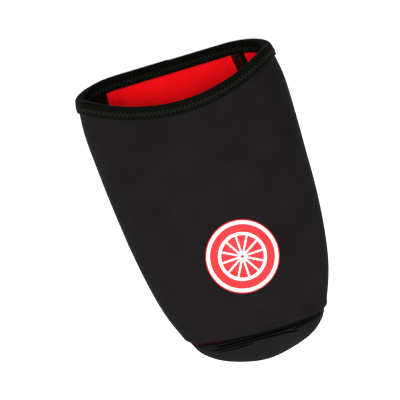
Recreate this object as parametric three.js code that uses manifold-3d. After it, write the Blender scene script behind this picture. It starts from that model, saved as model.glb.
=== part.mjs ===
import * as THREE from "three";
import { mergeVertices } from "three/addons/utils/BufferGeometryUtils.js";
import Module from "manifold-3d";

const { lerp, clamp, degToRad } = THREE.MathUtils;

// Toe cover for a cycling shoe: a foam rubber half shoe that stands empty on its sole.
// Millimetres, +X towards the toe, +Y towards the wearer's left, +Z up.
// The origin lies on the floor under the middle of the cover's box.

// Overall sizes
const length = 173; // rear edge of the collar binding to the tip of the toe
const ballWidth = 112.8; // widest outline of the upper
const soleWidth = 86.6; // widest place of the sole panel
const collarHeight = 41; // top of the lip above the sole line
const toeHeight = 25; // what the crest has fallen to above the tip
const sideHeight = 18; // height of the widest place of the side, at the collar

// Panels
const upperWall = 3; // foam rubber with a knit on each face
const soleThickness = 2.5;
const toePanelInset = 0.5; // the toe panel is thinner and lies this much inside the upper's surface
const clearance = 0.3; // between pieces that are sewn or glued together

// Collar binding
const bindingWidth = 6.3;
const bindingThickness = 0.7;
const bindingReach = clearance + bindingThickness;
const bindingFloorGap = 0.3; // the sole's flat spots carry the cover, not the binding

// Shape of the last
const crestFall = 1.6; // power of the crest's fall from collar to toe
const topFullness = 2.3; // 2 gives elliptic sections, more gives fuller shoulders
const lipBow = 1; // 0 carries the lip straight from the sides to the crest, more bows it forward
const mouthSkew = 0.04; // the mouth's left side lies this much of its offset further forward
const toeSpring = 7;
const toeSpringStart = 0.77; // share of the length where the sole begins to rise
const rearLiftLength = 18; // the sole bends up here, so that the binding lies on the floor
const rearLiftPower = 1.5;
const liftAtBinding = Math.pow(1 - bindingWidth / rearLiftLength, rearLiftPower);
const rearLift = (bindingReach + bindingFloorGap) / liftAtBinding;

// Toe seam: a cut across the toe, skewed in plan and leaning forward
const toeSeamAlong = 0.893; // share of the length at the side height
const toeSeamSkew = degToRad(-4.5);
const toeSeamLean = degToRad(15);

// Opening for the cleat
const openingLength = 66.5;
const openingWidth = 31.6;
const openingStart = 51; // behind it lies the rear of the sole

// Tape over the joint of upper and sole, inside
const seamTapeWidth = 5.5;
const seamTapeThickness = 0.7;
const seamTapeEndGap = 1.5; // from the binding's inner leg

// Badge on top of the toes
const badgeDiameter = 39.5;
const badgeThickness = 0.4;
const badgeAlong = 115.5;
const badgeAside = 3;

// Facets
const stationsPerRib = 3;
const lowerRings = 7;
const upperRings = 9;
const soleColumns = 10;
const rearEdgeSteps = 8;

const turns = [...steps(0, 1, lowerRings), ...steps(1, 2, upperRings).slice(1)];

// A row for each rib of the last, from the collar to the tip of the toe.
// Columns named At are shares of the shell's length, soleHalf of half the sole width,
// sideHalf of half the ball width and sideRise of the side height.
const ribs = [
  { soleAt: 0.0, soleHalf: 0.716, sideAt: 0.049, sideHalf: 0.961, sideRise: 1.0, crestAt: 0.149 },
  { soleAt: 0.122, soleHalf: 0.771, sideAt: 0.157, sideHalf: 0.998, sideRise: 1.0, crestAt: 0.233 },
  { soleAt: 0.256, soleHalf: 0.855, sideAt: 0.285, sideHalf: 0.988, sideRise: 0.97, crestAt: 0.326 },
  { soleAt: 0.39, soleHalf: 0.945, sideAt: 0.413, sideHalf: 0.966, sideRise: 0.93, crestAt: 0.424 },
  { soleAt: 0.523, soleHalf: 0.995, sideAt: 0.541, sideHalf: 0.94, sideRise: 0.88, crestAt: 0.523 },
  { soleAt: 0.645, soleHalf: 0.988, sideAt: 0.663, sideHalf: 0.894, sideRise: 0.82, crestAt: 0.616 },
  { soleAt: 0.744, soleHalf: 0.931, sideAt: 0.773, sideHalf: 0.821, sideRise: 0.76, crestAt: 0.692 },
  { soleAt: 0.826, soleHalf: 0.799, sideAt: 0.863, sideHalf: 0.716, sideRise: 0.7, crestAt: 0.75 },
  { soleAt: 0.884, soleHalf: 0.635, sideAt: 0.927, sideHalf: 0.596, sideRise: 0.66, crestAt: 0.791 },
  { soleAt: 0.924, soleHalf: 0.404, sideAt: 0.974, sideHalf: 0.36, sideRise: 0.63, crestAt: 0.817 },
  { soleAt: 0.945, soleHalf: 0.0, sideAt: 1.0, sideHalf: 0.0, sideRise: 0.61, crestAt: 0.826 },
];
const lastRib = ribs.length - 1;
const cornerReach = bindingReach + (mouthSkew * ribs[0].soleHalf * soleWidth) / 2;
const rear = cornerReach - length / 2; // middle of the sole's rear edge
const shellLength = length - cornerReach + toePanelInset;
const oddColumns = new Set(["soleHalf", "sideHalf"]); // these change sign across the tip
const stations = steps(-1, 1, 2 * lastRib * stationsPerRib);

// Outline of the cleat opening: along is a share of its length, half of half its width.
const openingRows = [
  { along: 0.0, half: 0.0 },
  { along: 0.06, half: 0.55 },
  { along: 0.19, half: 0.9 },
  { along: 0.35, half: 1.0 },
  { along: 0.55, half: 0.95 },
  { along: 0.72, half: 0.88 },
  { along: 0.86, half: 0.74 },
  { along: 0.95, half: 0.48 },
  { along: 1.0, half: 0.0 },
];

const wasm = await Module();
wasm.setup();

// A column's value at a row, with the rows mirrored past the tip and carried straight on past the collar.
function columnAt(column, row) {
  if (row < 0) return 2 * ribs[0][column] - ribs[1][column];
  if (row <= lastRib) return ribs[row][column];
  const mirrored = ribs[2 * lastRib - row][column];
  return oddColumns.has(column) ? -mirrored : mirrored;
}

// Smooth value of a column between the rows (Catmull-Rom).
function smoothColumn(column, place) {
  const row = Math.min(Math.floor(place), lastRib - 1);
  const t = place - row;
  const [a, b, c, d] = [-1, 0, 1, 2].map((step) => columnAt(column, row + step));
  return b + 0.5 * t * (c - a + t * (2 * a - 5 * b + 4 * c - d + t * (3 * (b - c) + d - a)));
}

// Height of the sole's underside above the floor.
function soleLine(x) {
  const behind = clamp(1 - (x - rear) / rearLiftLength, 0, 1);
  const springLength = shellLength * (1 - toeSpringStart);
  const ahead = clamp(1 - (rear + shellLength - x) / springLength, 0, 1);
  return rearLift * Math.pow(behind, rearLiftPower) + toeSpring * ahead * ahead;
}

// Height of the crest above the sole line.
function crestHeight(x) {
  const fromLip = (x - rear) / shellLength - ribs[0].crestAt;
  const share = clamp(fromLip / (1 - ribs[0].crestAt), 0, 1);
  return lerp(collarHeight, toeHeight, Math.pow(share, crestFall));
}

// A point of the last. The station runs from -1, the collar on the right, over 0, the tip, to 1, the collar
// on the left. The turn runs from 0 at the sole's edge over 1 at the widest place to 2 on the crest.
function lastPoint(station, turn) {
  const place = (1 - Math.abs(station)) * lastRib;
  const collarShare = Math.abs(station);
  const soleX = rear + shellLength * smoothColumn("soleAt", place);
  const soleY = (soleWidth / 2) * smoothColumn("soleHalf", place);
  const sideX = rear + shellLength * smoothColumn("sideAt", place);
  const sideY = (ballWidth / 2) * smoothColumn("sideHalf", place);
  const sideZ = sideHeight * smoothColumn("sideRise", place);
  const crestX = rear + shellLength * smoothColumn("crestAt", place);
  const point = new THREE.Vector3();
  if (turn <= 1) {
    const angle = (turn * Math.PI) / 2;
    const out = Math.sin(angle);
    const up = 1 - Math.cos(angle);
    point.x = lerp(soleX, sideX, lerp(out, up, Math.pow(collarShare, 4)));
    point.y = lerp(soleY, sideY, out);
    point.z = sideZ * up;
  } else {
    const angle = ((turn - 1) * Math.PI) / 2;
    const out = Math.pow(Math.max(Math.cos(angle), 0), 2 / topFullness);
    const up = Math.pow(Math.sin(angle), 2 / topFullness);
    point.x = lerp(crestX, sideX, Math.pow(out, 1 + lipBow * collarShare));
    point.y = sideY * out;
    point.z = sideZ + (crestHeight(point.x) - sideZ) * up;
  }
  point.y *= Math.sign(station);
  point.x += mouthSkew * point.y * Math.pow(collarShare, 3);
  point.z += soleLine(point.x);
  return point;
}

// Direction out of the last at one of its points.
function lastNormal(station, turn) {
  const step = 0.002;
  if (turn === 2) {
    const { x } = lastPoint(station, turn);
    const rise = crestHeight(x + step) + soleLine(x + step) - crestHeight(x - step) - soleLine(x - step);
    return new THREE.Vector3(-rise / (2 * step), 0, 1).normalize();
  }
  const ahead = lastPoint(Math.min(station + step, 1), turn);
  const behind = lastPoint(Math.max(station - step, -1), turn);
  const above = lastPoint(station, turn + step);
  const below = lastPoint(station, Math.max(turn - step, 0));
  return ahead.sub(behind).cross(above.sub(below)).normalize();
}

// The same point, brought to the height of the sole's underside.
function onSoleLine(point) {
  point.z = soleLine(point.x);
  return point;
}

// A point of the sole's edge, moved inwards in plan.
function soleEdge(station, inset) {
  const step = 0.002;
  const point = lastPoint(station, 0);
  const tangent = lastPoint(Math.min(station + step, 1), 0).sub(lastPoint(Math.max(station - step, -1), 0));
  tangent.z = 0;
  tangent.normalize();
  point.x -= inset * tangent.y;
  point.y += inset * tangent.x;
  return onSoleLine(point);
}

// Evenly spaced values from one number to another.
function steps(from, to, count) {
  return Array.from({ length: count + 1 }, (_, i) => lerp(from, to, i / count));
}

function attributeOf(vectors) {
  return new THREE.Float32BufferAttribute(vectors.flatMap((vector) => vector.toArray()), 3);
}

// Geometry from vertices and triangles, with shared vertices merged and collapsed triangles left out.
function geometryOf(vertices, triangles, normals = []) {
  const loose = new THREE.BufferGeometry();
  loose.setAttribute("position", attributeOf(vertices));
  if (normals.length) loose.setAttribute("normal", attributeOf(normals));
  loose.setIndex(triangles.flat());
  const merged = mergeVertices(loose, 1e-4);
  const index = merged.getIndex().array;
  const kept = [];
  for (let i = 0; i < index.length; i += 3) {
    const [a, b, c] = index.slice(i, i + 3);
    if (a !== b && b !== c && c !== a) kept.push(a, b, c);
  }
  merged.setIndex(kept);
  return merged;
}

// Surface through rows of points, facing row direction times column direction.
function gridSurface(rows, normals = []) {
  const width = rows[0].length;
  const triangles = [];
  for (let i = 0; i + 1 < rows.length; i += 1) {
    for (let j = 0; j + 1 < width; j += 1) {
      const corner = i * width + j;
      triangles.push([corner, corner + width, corner + width + 1], [corner, corner + width + 1, corner + 1]);
    }
  }
  return geometryOf(rows.flat(), triangles, normals.flat());
}

// Closed solid between two depths below a surface, with walls along the surface's open edges.
function thicken(surface, outerDepth, innerDepth) {
  if (!surface.hasAttribute("normal")) surface.computeVertexNormals();
  const position = surface.getAttribute("position");
  const normal = surface.getAttribute("normal");
  const index = surface.getIndex().array;
  const count = position.count;
  const vertices = [];
  for (const depth of [outerDepth, innerDepth]) {
    for (let i = 0; i < count; i += 1) {
      const inwards = new THREE.Vector3().fromBufferAttribute(normal, i).multiplyScalar(-depth);
      vertices.push(new THREE.Vector3().fromBufferAttribute(position, i).add(inwards));
    }
  }
  const triangles = [];
  const edges = new Map();
  for (let i = 0; i < index.length; i += 3) {
    const [a, b, c] = index.slice(i, i + 3);
    triangles.push([a, b, c], [c + count, b + count, a + count]);
    for (const [from, to] of [[a, b], [b, c], [c, a]]) edges.set(`${from} ${to}`, [from, to]);
  }
  for (const [from, to] of edges.values()) {
    if (edges.has(`${to} ${from}`)) continue;
    triangles.push([to, from, from + count], [to, from + count, to + count]);
  }
  return geometryOf(vertices, triangles);
}

// A closed geometry as a solid that can be cut.
function solidOf(geometry) {
  const bare = geometry.clone();
  bare.deleteAttribute("normal");
  bare.deleteAttribute("uv");
  const merged = mergeVertices(bare, 1e-4);
  const vertProperties = new Float32Array(merged.getAttribute("position").array);
  const triVerts = new Uint32Array(merged.getIndex().array);
  return new wasm.Manifold(new wasm.Mesh({ numProp: 3, vertProperties, triVerts }));
}

function geometryFrom(solid) {
  const mesh = solid.getMesh();
  const geometry = new THREE.BufferGeometry();
  geometry.setAttribute("position", new THREE.BufferAttribute(mesh.vertProperties, 3));
  geometry.setIndex(new THREE.BufferAttribute(mesh.triVerts, 1));
  return geometry;
}

// Open surface of the last, from the sole's edge to the crest on both sides.
function lastSurface() {
  const sample = (value) => stations.map((station) => turns.map((turn) => value(station, turn)));
  return gridSurface(sample(lastPoint), sample(lastNormal));
}

// Everything ahead of the toe seam, as a block moved along the cover by a gap.
function blockAheadOfSeam(gap) {
  const block = new THREE.BoxGeometry(length, 2 * ballWidth, 4 * collarHeight);
  block.translate(length / 2 + gap, 0, 0);
  block.rotateY(toeSeamLean);
  block.rotateZ(toeSeamSkew);
  block.translate(rear + shellLength * toeSeamAlong, 0, sideHeight);
  return solidOf(block);
}

function upperGeometry() {
  const shell = solidOf(thicken(lastSurface(), 0, upperWall));
  return geometryFrom(shell.subtract(blockAheadOfSeam(-clearance / 2)));
}

function toePanelGeometry() {
  const shell = solidOf(thicken(lastSurface(), toePanelInset, upperWall));
  return geometryFrom(shell.intersect(blockAheadOfSeam(clearance / 2)));
}

// The hole for the cleat, as a block through the sole.
function openingBlock() {
  const points = openingRows.map(({ along, half }) => {
    return new THREE.Vector3(along * openingLength, (half * openingWidth) / 2);
  });
  const mirrored = points.slice(1, -1).reverse().map((point) => new THREE.Vector3(point.x, -point.y));
  const curve = new THREE.CatmullRomCurve3([...points, ...mirrored], true);
  const outline = new THREE.Shape(curve.getPoints(48).map((point) => new THREE.Vector2(point.x, point.y)));
  const block = new THREE.ExtrudeGeometry(outline, { depth: 4 * soleThickness, bevelEnabled: false });
  block.translate(-length / 2 + openingStart, 0, -soleThickness);
  return solidOf(block);
}

function soleGeometry() {
  const rows = stations.filter((station) => station <= 0).map((station) => {
    const right = soleEdge(station, clearance);
    const left = soleEdge(-station, clearance);
    return steps(0, 1, soleColumns).map((share) => onSoleLine(left.clone().lerp(right, share)));
  });
  const plate = solidOf(thicken(gridSurface(rows), 0, soleThickness));
  return geometryFrom(plate.subtract(openingBlock()));
}

// The mouth's edge as a closed loop: up the right side, over the lip, down the left side and back along
// the sole. Each place holds points and normals of the surface at the edge, halfway and at the binding's
// full width, and the direction into the panel.
function mouthLoop() {
  const onLip = (side) => (turn) => {
    const edge = lastPoint(side, turn);
    const along = lastPoint(side, Math.min(turn + 0.01, 2)).sub(lastPoint(side, Math.max(turn - 0.01, 0)));
    along.normalize();
    const probe = 0.005;
    const into = lastPoint(side * (1 - probe), turn).sub(edge);
    into.addScaledVector(along, -into.dot(along));
    const fullWidth = (probe * bindingWidth) / into.length();
    const stations = steps(0, fullWidth, 2).map((share) => side * (1 - share));
    return {
      points: stations.map((station) => lastPoint(station, turn)),
      normals: stations.map((station) => lastNormal(station, turn)),
      into: into.normalize(),
    };
  };
  const onSole = (share) => {
    const edge = lastPoint(1, 0).lerp(lastPoint(-1, 0), share);
    const insets = steps(0, bindingWidth, 2);
    const points = insets.map((inset) => onSoleLine(new THREE.Vector3(edge.x + inset, edge.y)));
    const normals = points.map((point) => soleNormal(point.x));
    return { points, normals, into: normals[0].clone().cross(new THREE.Vector3(0, 1, 0)) };
  };
  return [
    ...turns.map(onLip(-1)),
    ...turns.slice(0, -1).reverse().map(onLip(1)),
    ...steps(0, 1, rearEdgeSteps).slice(1, -1).map(onSole),
  ];
}

// Direction out of the sole's underside.
function soleNormal(x) {
  const step = 0.002;
  return new THREE.Vector3((soleLine(x + step) - soleLine(x - step)) / (2 * step), 0, -1).normalize();
}

// Tape folded over the edge of upper and sole: a U section carried round the mouth.
// A row of the section names one of the loop's points, and how far beyond the edge and how far out it lies.
function collarBindingGeometry() {
  const wall = Math.max(upperWall, soleThickness);
  const corner = 0.3 * bindingReach;
  const edge = 0;
  const halfway = 1;
  const far = 2;
  const section = [
    { at: far, beyond: 0, out: bindingReach },
    { at: halfway, beyond: 0, out: bindingReach },
    { at: edge, beyond: 0, out: bindingReach },
    { at: edge, beyond: bindingReach - corner, out: bindingReach - corner },
    { at: edge, beyond: bindingReach, out: 0 },
    { at: edge, beyond: bindingReach, out: -wall },
    { at: edge, beyond: bindingReach - corner, out: corner - wall - bindingReach },
    { at: edge, beyond: 0, out: -wall - bindingReach },
    { at: halfway, beyond: 0, out: -wall - bindingReach },
    { at: far, beyond: 0, out: -wall - bindingReach },
    { at: far, beyond: 0, out: -wall - clearance },
    { at: halfway, beyond: 0, out: -wall - clearance },
    { at: edge, beyond: clearance, out: -wall - clearance },
    { at: edge, beyond: clearance, out: clearance },
    { at: halfway, beyond: 0, out: clearance },
    { at: far, beyond: 0, out: clearance },
  ];
  const rows = mouthLoop().map(({ points, normals, into }) =>
    section.map(({ at, beyond, out }) =>
      points[at].clone().addScaledVector(into, -beyond).addScaledVector(normals[at], out),
    ),
  );
  const closed = [...rows, rows[0]].map((row) => [...row, row[0]]);
  return gridSurface(closed);
}

// Tape inside, half on the sole and half on the upper's foot, from one end of the binding to the other.
function innerSeamTapeGeometry() {
  const half = seamTapeWidth / 2;
  const end = 1 - (bindingWidth + seamTapeEndGap) / (shellLength * ribs[1].soleAt * lastRib);
  const between = stations.filter((station) => Math.abs(station) < end);
  const rows = [-end, ...between, end].map((station) => {
    const onSole = [[half, soleThickness], [3 * clearance, soleThickness], [clearance, upperWall]];
    const solePoints = onSole.map(([inset, depth]) => {
      const point = soleEdge(station, inset);
      return point.addScaledVector(soleNormal(point.x), -depth - clearance);
    });
    const footReach = lastPoint(station, 1).distanceTo(lastPoint(station, 0));
    const upperPoints = [half / 2, half].map((width) => {
      const turn = width / footReach;
      return lastPoint(station, turn).addScaledVector(lastNormal(station, turn), -upperWall - clearance);
    });
    return [...solePoints, ...upperPoints];
  });
  return thicken(gridSurface(rows), 0, seamTapeThickness);
}

// Disc that lies on the top of the upper, found by looking straight down on it.
function badgeGeometry(upper) {
  const ringCount = 6;
  const sectors = 36;
  const target = new THREE.Mesh(upper, new THREE.MeshBasicMaterial());
  const downwards = new THREE.Vector3(0, 0, -1);
  const onUpper = (radius, angle) => {
    const x = badgeAlong - length / 2 + radius * Math.cos(angle);
    const y = badgeAside + radius * Math.sin(angle);
    const ray = new THREE.Raycaster(new THREE.Vector3(x, y, 2 * collarHeight), downwards);
    return ray.intersectObject(target)[0].point;
  };
  const rows = steps(0, badgeDiameter / 2, ringCount).map((radius) =>
    steps(0, 2 * Math.PI, sectors).map((angle) => onUpper(radius, angle)),
  );
  return thicken(gridSurface(rows), -clearance - badgeThickness, -clearance);
}

const rubberBlack = new THREE.MeshStandardMaterial({ color: 0x222022, roughness: 0.9, metalness: 0 });
const rubberGrey = new THREE.MeshStandardMaterial({ color: 0x2a2a2a, roughness: 0.85, metalness: 0 });
const filmRed = new THREE.MeshStandardMaterial({ color: 0xfa4243, roughness: 0.35, metalness: 0 });
const tapeBlack = new THREE.MeshStandardMaterial({ color: 0x151812, roughness: 0.8, metalness: 0 });
const tapeInside = new THREE.MeshStandardMaterial({ color: 0x1a1214, roughness: 0.85, metalness: 0 });
const badgeRed = new THREE.MeshStandardMaterial({ color: 0xf04143, roughness: 0.55, metalness: 0 });

const upper = upperGeometry();
const pieces = [
  ["upper", upper, rubberBlack],
  ["toe_panel", toePanelGeometry(), rubberGrey],
  ["sole", soleGeometry(), filmRed],
  ["collar_binding", collarBindingGeometry(), tapeBlack],
  ["inner_seam_tape", innerSeamTapeGeometry(), tapeInside],
  ["badge", badgeGeometry(upper), badgeRed],
];

const cover = new THREE.Group();
for (const [name, geometry, material] of pieces) {
  const mesh = new THREE.Mesh(geometry, material);
  mesh.name = name;
  cover.add(mesh);
}

export default cover;
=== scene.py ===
"""Toe cover for a cycling shoe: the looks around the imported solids, in metres.

The cover stands empty on its sole, toe towards +X and its left towards +Y. Every piece is built from the same
shape of the last as the solids, with the panels, folds, seams, threads and print that a maker would add.
"""

import logging
import math
from dataclasses import dataclass, field
from enum import Enum
from functools import cached_property

import bmesh
import bpy
import numpy as np
from mathutils import Matrix, Vector
from mathutils.bvhtree import BVHTree
from mathutils.geometry import delaunay_2d_cdt


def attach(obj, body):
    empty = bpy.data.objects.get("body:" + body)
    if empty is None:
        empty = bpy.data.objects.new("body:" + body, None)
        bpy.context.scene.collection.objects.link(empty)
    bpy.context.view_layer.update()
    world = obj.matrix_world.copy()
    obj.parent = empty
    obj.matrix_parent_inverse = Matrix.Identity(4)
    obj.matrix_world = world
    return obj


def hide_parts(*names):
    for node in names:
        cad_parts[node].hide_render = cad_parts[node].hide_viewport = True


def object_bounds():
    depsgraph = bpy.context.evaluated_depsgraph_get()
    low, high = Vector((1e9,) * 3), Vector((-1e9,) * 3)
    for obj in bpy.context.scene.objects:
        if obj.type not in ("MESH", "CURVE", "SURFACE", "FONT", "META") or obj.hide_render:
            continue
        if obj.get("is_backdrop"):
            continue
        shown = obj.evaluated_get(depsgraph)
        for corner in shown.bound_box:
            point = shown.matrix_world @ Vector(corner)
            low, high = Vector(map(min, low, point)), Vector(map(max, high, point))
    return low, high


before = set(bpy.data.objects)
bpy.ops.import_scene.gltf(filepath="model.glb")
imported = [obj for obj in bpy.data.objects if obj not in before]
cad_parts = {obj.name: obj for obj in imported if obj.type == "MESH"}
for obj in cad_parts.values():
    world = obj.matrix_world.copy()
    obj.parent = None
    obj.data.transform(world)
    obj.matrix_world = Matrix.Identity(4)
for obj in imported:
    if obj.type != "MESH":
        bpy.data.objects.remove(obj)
cad_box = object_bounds()

LOG = logging.getLogger("toe_cover")
MM = 0.001
Array = np.ndarray
Colour = tuple[float, float, float]
Socket = bpy.types.NodeSocket
Sockets = bpy.types.NodeOutputs
Tree = bpy.types.NodeTree
Node = bpy.types.Node
Object = bpy.types.Object
Mesh = bpy.types.Mesh
Material = bpy.types.Material


class Slot(Enum):
    """Material slots of the record."""

    UPPER = "upper"
    TOE_PANEL = "toe_panel"
    SOLE = "sole"
    BINDING = "binding"
    SEAM_TAPE = "seam_tape"
    BADGE = "badge"


class Leg(Enum):
    """The two legs of the folded binding."""

    OUTER = "outer"
    INNER = "inner"


class Seed(Enum):
    """What is laid at each point of a row."""

    THREAD = "thread"
    DOT = "dot"


def linear(red: int, green: int, blue: int) -> Colour:
    """Turn a colour of 0 to 255 a channel into linear light.

    Args:
        red: Red, 0 to 255.
        green: Green, 0 to 255.
        blue: Blue, 0 to 255.

    Returns:
        The three linear values.
    """
    shares = [channel / 255 for channel in (red, green, blue)]
    return tuple(c / 12.92 if c <= 0.04045 else ((c + 0.055) / 1.055) ** 2.4 for c in shares)


def unit(vectors: Array) -> Array:
    """Return the vectors with length one."""
    return vectors / np.maximum(np.linalg.norm(vectors, axis=-1, keepdims=True), 1e-12)


def bump_curve(distance: Array, width: float) -> Array:
    """Return a soft bell of height one around zero distance."""
    return np.exp(-((distance / width) ** 2))


def smooth_step(value: Array, low: float, high: float) -> Array:
    """Return 0 below low, 1 above high and a smooth ramp between."""
    share = np.clip((value - low) / (high - low), 0, 1)
    return share * share * (3 - 2 * share)


def way_along(points: Array) -> Array:
    """Return how far each point of a row lies along the row."""
    return np.concatenate([[0], np.cumsum(np.linalg.norm(np.diff(points, axis=0), axis=-1))])


@dataclass(frozen=True)
class LastShape:
    """The shape of the last in millimetres, with the sizes of the solids.

    The station runs from -1, the collar on the right, over 0, the tip, to 1, the collar on the left. The turn
    runs from 0 at the sole's edge over 1 at the widest place to 2 on the crest.
    """

    length: float = 173.0
    ball_width: float = 112.8
    sole_width: float = 86.6
    collar_height: float = 41.0
    toe_height: float = 25.0
    side_height: float = 18.0
    upper_wall: float = 3.0
    sole_thickness: float = 2.5
    toe_panel_inset: float = 0.5
    clearance: float = 0.3
    binding_width: float = 6.3
    binding_thickness: float = 0.7
    binding_floor_gap: float = 0.3
    crest_fall: float = 1.6
    top_fullness: float = 2.3
    lip_bow: float = 1.0
    mouth_skew: float = 0.04
    toe_spring: float = 7.0
    toe_spring_start: float = 0.77
    rear_lift_length: float = 18.0
    rear_lift_power: float = 1.5
    toe_seam_along: float = 0.893
    toe_seam_skew: float = math.radians(-4.5)
    toe_seam_lean: float = math.radians(15)
    step: float = 0.002

    # Columns: sole_at, sole_half, side_at, side_half, side_rise, crest_at
    ribs: tuple[tuple[float, ...], ...] = (
        (0.0, 0.716, 0.049, 0.961, 1.0, 0.149),
        (0.122, 0.771, 0.157, 0.998, 1.0, 0.233),
        (0.256, 0.855, 0.285, 0.988, 0.97, 0.326),
        (0.39, 0.945, 0.413, 0.966, 0.93, 0.424),
        (0.523, 0.995, 0.541, 0.94, 0.88, 0.523),
        (0.645, 0.988, 0.663, 0.894, 0.82, 0.616),
        (0.744, 0.931, 0.773, 0.821, 0.76, 0.692),
        (0.826, 0.799, 0.863, 0.716, 0.7, 0.75),
        (0.884, 0.635, 0.927, 0.596, 0.66, 0.791),
        (0.924, 0.404, 0.974, 0.36, 0.63, 0.817),
        (0.945, 0.0, 1.0, 0.0, 0.61, 0.826),
    )

    @property
    def binding_reach(self) -> float:
        """How far the binding stands beyond the edge it covers."""
        return self.clearance + self.binding_thickness

    @property
    def corner_reach(self) -> float:
        """How far the binding's rear corner lies behind the middle of the sole's rear edge."""
        return self.binding_reach + self.mouth_skew * self.ribs[0][1] * self.sole_width / 2

    @property
    def rear(self) -> float:
        """Place of the sole's rear edge along the cover."""
        return self.corner_reach - self.length / 2

    @property
    def shell_length(self) -> float:
        """Length of the bare last from the sole's rear edge to the tip."""
        return self.length - self.corner_reach + self.toe_panel_inset

    @property
    def rear_lift(self) -> float:
        """Height of the sole's rear edge above the floor."""
        share = 1 - self.binding_width / self.rear_lift_length
        return (self.binding_reach + self.binding_floor_gap) / share**self.rear_lift_power

    def columns(self, place: Array) -> list[Array]:
        """Interpolate the ribs with a smooth curve through them.

        Args:
            place: Row numbers, which need not be whole.

        Returns:
            One array for each column of the ribs.
        """
        table = np.array(self.ribs)
        last = len(table) - 1
        mirrored = table[last - 1] * np.array([1, -1, 1, -1, 1, 1])
        rows = np.vstack([2 * table[0] - table[1], table, mirrored])
        row = np.minimum(np.floor(place), last - 1).astype(int)
        t = (place - row)[..., None]
        a, b, c, d = (rows[row + shift] for shift in range(4))
        values = b + 0.5 * t * (c - a + t * (2 * a - 5 * b + 4 * c - d + t * (3 * (b - c) + d - a)))
        return [values[..., column] for column in range(table.shape[1])]

    def sole_line(self, x: Array) -> Array:
        """Return the height of the sole's underside above the floor.

        Args:
            x: Places along the cover.

        Returns:
            Heights in millimetres.
        """
        behind = np.clip(1 - (x - self.rear) / self.rear_lift_length, 0, 1)
        spring_length = self.shell_length * (1 - self.toe_spring_start)
        ahead = np.clip(1 - (self.rear + self.shell_length - x) / spring_length, 0, 1)
        return self.rear_lift * behind**self.rear_lift_power + self.toe_spring * ahead**2

    def crest_height(self, x: Array) -> Array:
        """Return the height of the crest above the sole line.

        Args:
            x: Places along the cover.

        Returns:
            Heights in millimetres.
        """
        first = self.ribs[0][5]
        share = np.clip(((x - self.rear) / self.shell_length - first) / (1 - first), 0, 1)
        return self.collar_height + (self.toe_height - self.collar_height) * share**self.crest_fall

    def point(self, station: Array, turn: Array) -> Array:
        """Return points of the last.

        Args:
            station: Stations from -1 to 1.
            turn: Turns from 0 to 2, of the same shape or one that broadcasts.

        Returns:
            Points with a last axis of three.
        """
        station, turn = np.broadcast_arrays(np.asarray(station, float), np.asarray(turn, float))
        share = np.abs(station)
        sole_at, sole_half, side_at, side_half, side_rise, crest_at = self.columns(
            (1 - share) * (len(self.ribs) - 1)
        )
        sole_x = self.rear + self.shell_length * sole_at
        sole_y = self.sole_width / 2 * sole_half
        side_x = self.rear + self.shell_length * side_at
        side_y = self.ball_width / 2 * side_half
        side_z = self.side_height * side_rise
        crest_x = self.rear + self.shell_length * crest_at

        low = np.clip(turn, 0, 1) * math.pi / 2
        low_out, low_up = np.sin(low), 1 - np.cos(low)
        blend = low_out + (low_up - low_out) * share**4
        low_x = sole_x + (side_x - sole_x) * blend
        low_y = sole_y + (side_y - sole_y) * low_out
        low_z = side_z * low_up

        high = (np.clip(turn, 1, 3) - 1) * math.pi / 2
        high_out = np.maximum(np.cos(high), 0) ** (2 / self.top_fullness)
        high_up = np.abs(np.sin(high)) ** (2 / self.top_fullness)
        high_x = crest_x + (side_x - crest_x) * high_out ** (1 + self.lip_bow * share)
        high_y = side_y * high_out
        high_z = side_z + (self.crest_height(high_x) - side_z) * high_up

        is_low = turn <= 1
        x = np.where(is_low, low_x, high_x)
        y = np.where(is_low, low_y, high_y) * np.sign(station)
        z = np.where(is_low, low_z, high_z)
        x = x + self.mouth_skew * y * share**3
        return np.stack([x, y, z + self.sole_line(x)], axis=-1)

    def normal(self, station: Array, turn: Array) -> Array:
        """Return the directions out of the last at its points.

        Args:
            station: Stations from -1 to 1.
            turn: Turns from 0 to 2.

        Returns:
            Unit vectors with a last axis of three.
        """
        station, turn = np.broadcast_arrays(np.asarray(station, float), np.asarray(turn, float))
        ahead = self.point(np.minimum(station + self.step, 1), turn)
        behind = self.point(np.maximum(station - self.step, -1), turn)
        above = self.point(station, turn + self.step)
        below = self.point(station, np.maximum(turn - self.step, 0))
        around = unit(np.cross(ahead - behind, above - below))
        x = self.point(station, turn)[..., 0]
        places = (x + self.step, x - self.step)
        higher, lower = (self.crest_height(place) + self.sole_line(place) for place in places)
        slope = (higher - lower) / (2 * self.step)
        crest = unit(np.stack([-slope, np.zeros_like(slope), np.ones_like(slope)], axis=-1))
        return np.where((turn >= 2 - 1e-9)[..., None], crest, around)

    def sole_normal(self, x: Array) -> Array:
        """Return the directions out of the sole's underside."""
        slope = (self.sole_line(x + self.step) - self.sole_line(x - self.step)) / (2 * self.step)
        return unit(np.stack([slope, np.zeros_like(slope), -np.ones_like(slope)], axis=-1))

    def sole_edge(self, station: Array, inset: Array | float) -> Array:
        """Return points of the sole's edge moved inwards in plan, on the sole line.

        Args:
            station: Stations from -1 to 1.
            inset: Distance inwards in millimetres.

        Returns:
            Points with a last axis of three.
        """
        station = np.asarray(station, float)
        edge = self.point(station, np.zeros_like(station))
        ahead = self.point(np.minimum(station + self.step, 1), np.zeros_like(station))
        behind = self.point(np.maximum(station - self.step, -1), np.zeros_like(station))
        tangent = ahead - behind
        tangent[..., 2] = 0
        tangent = unit(tangent)
        edge[..., 0] -= inset * tangent[..., 1]
        edge[..., 1] += inset * tangent[..., 0]
        edge[..., 2] = self.sole_line(edge[..., 0])
        return edge

    def seam_distance(self, points: Array) -> Array:
        """Return how far points lie ahead of the toe seam's plane, in millimetres."""
        place, direction = self.seam_plane()
        return (points - place) @ direction

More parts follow.
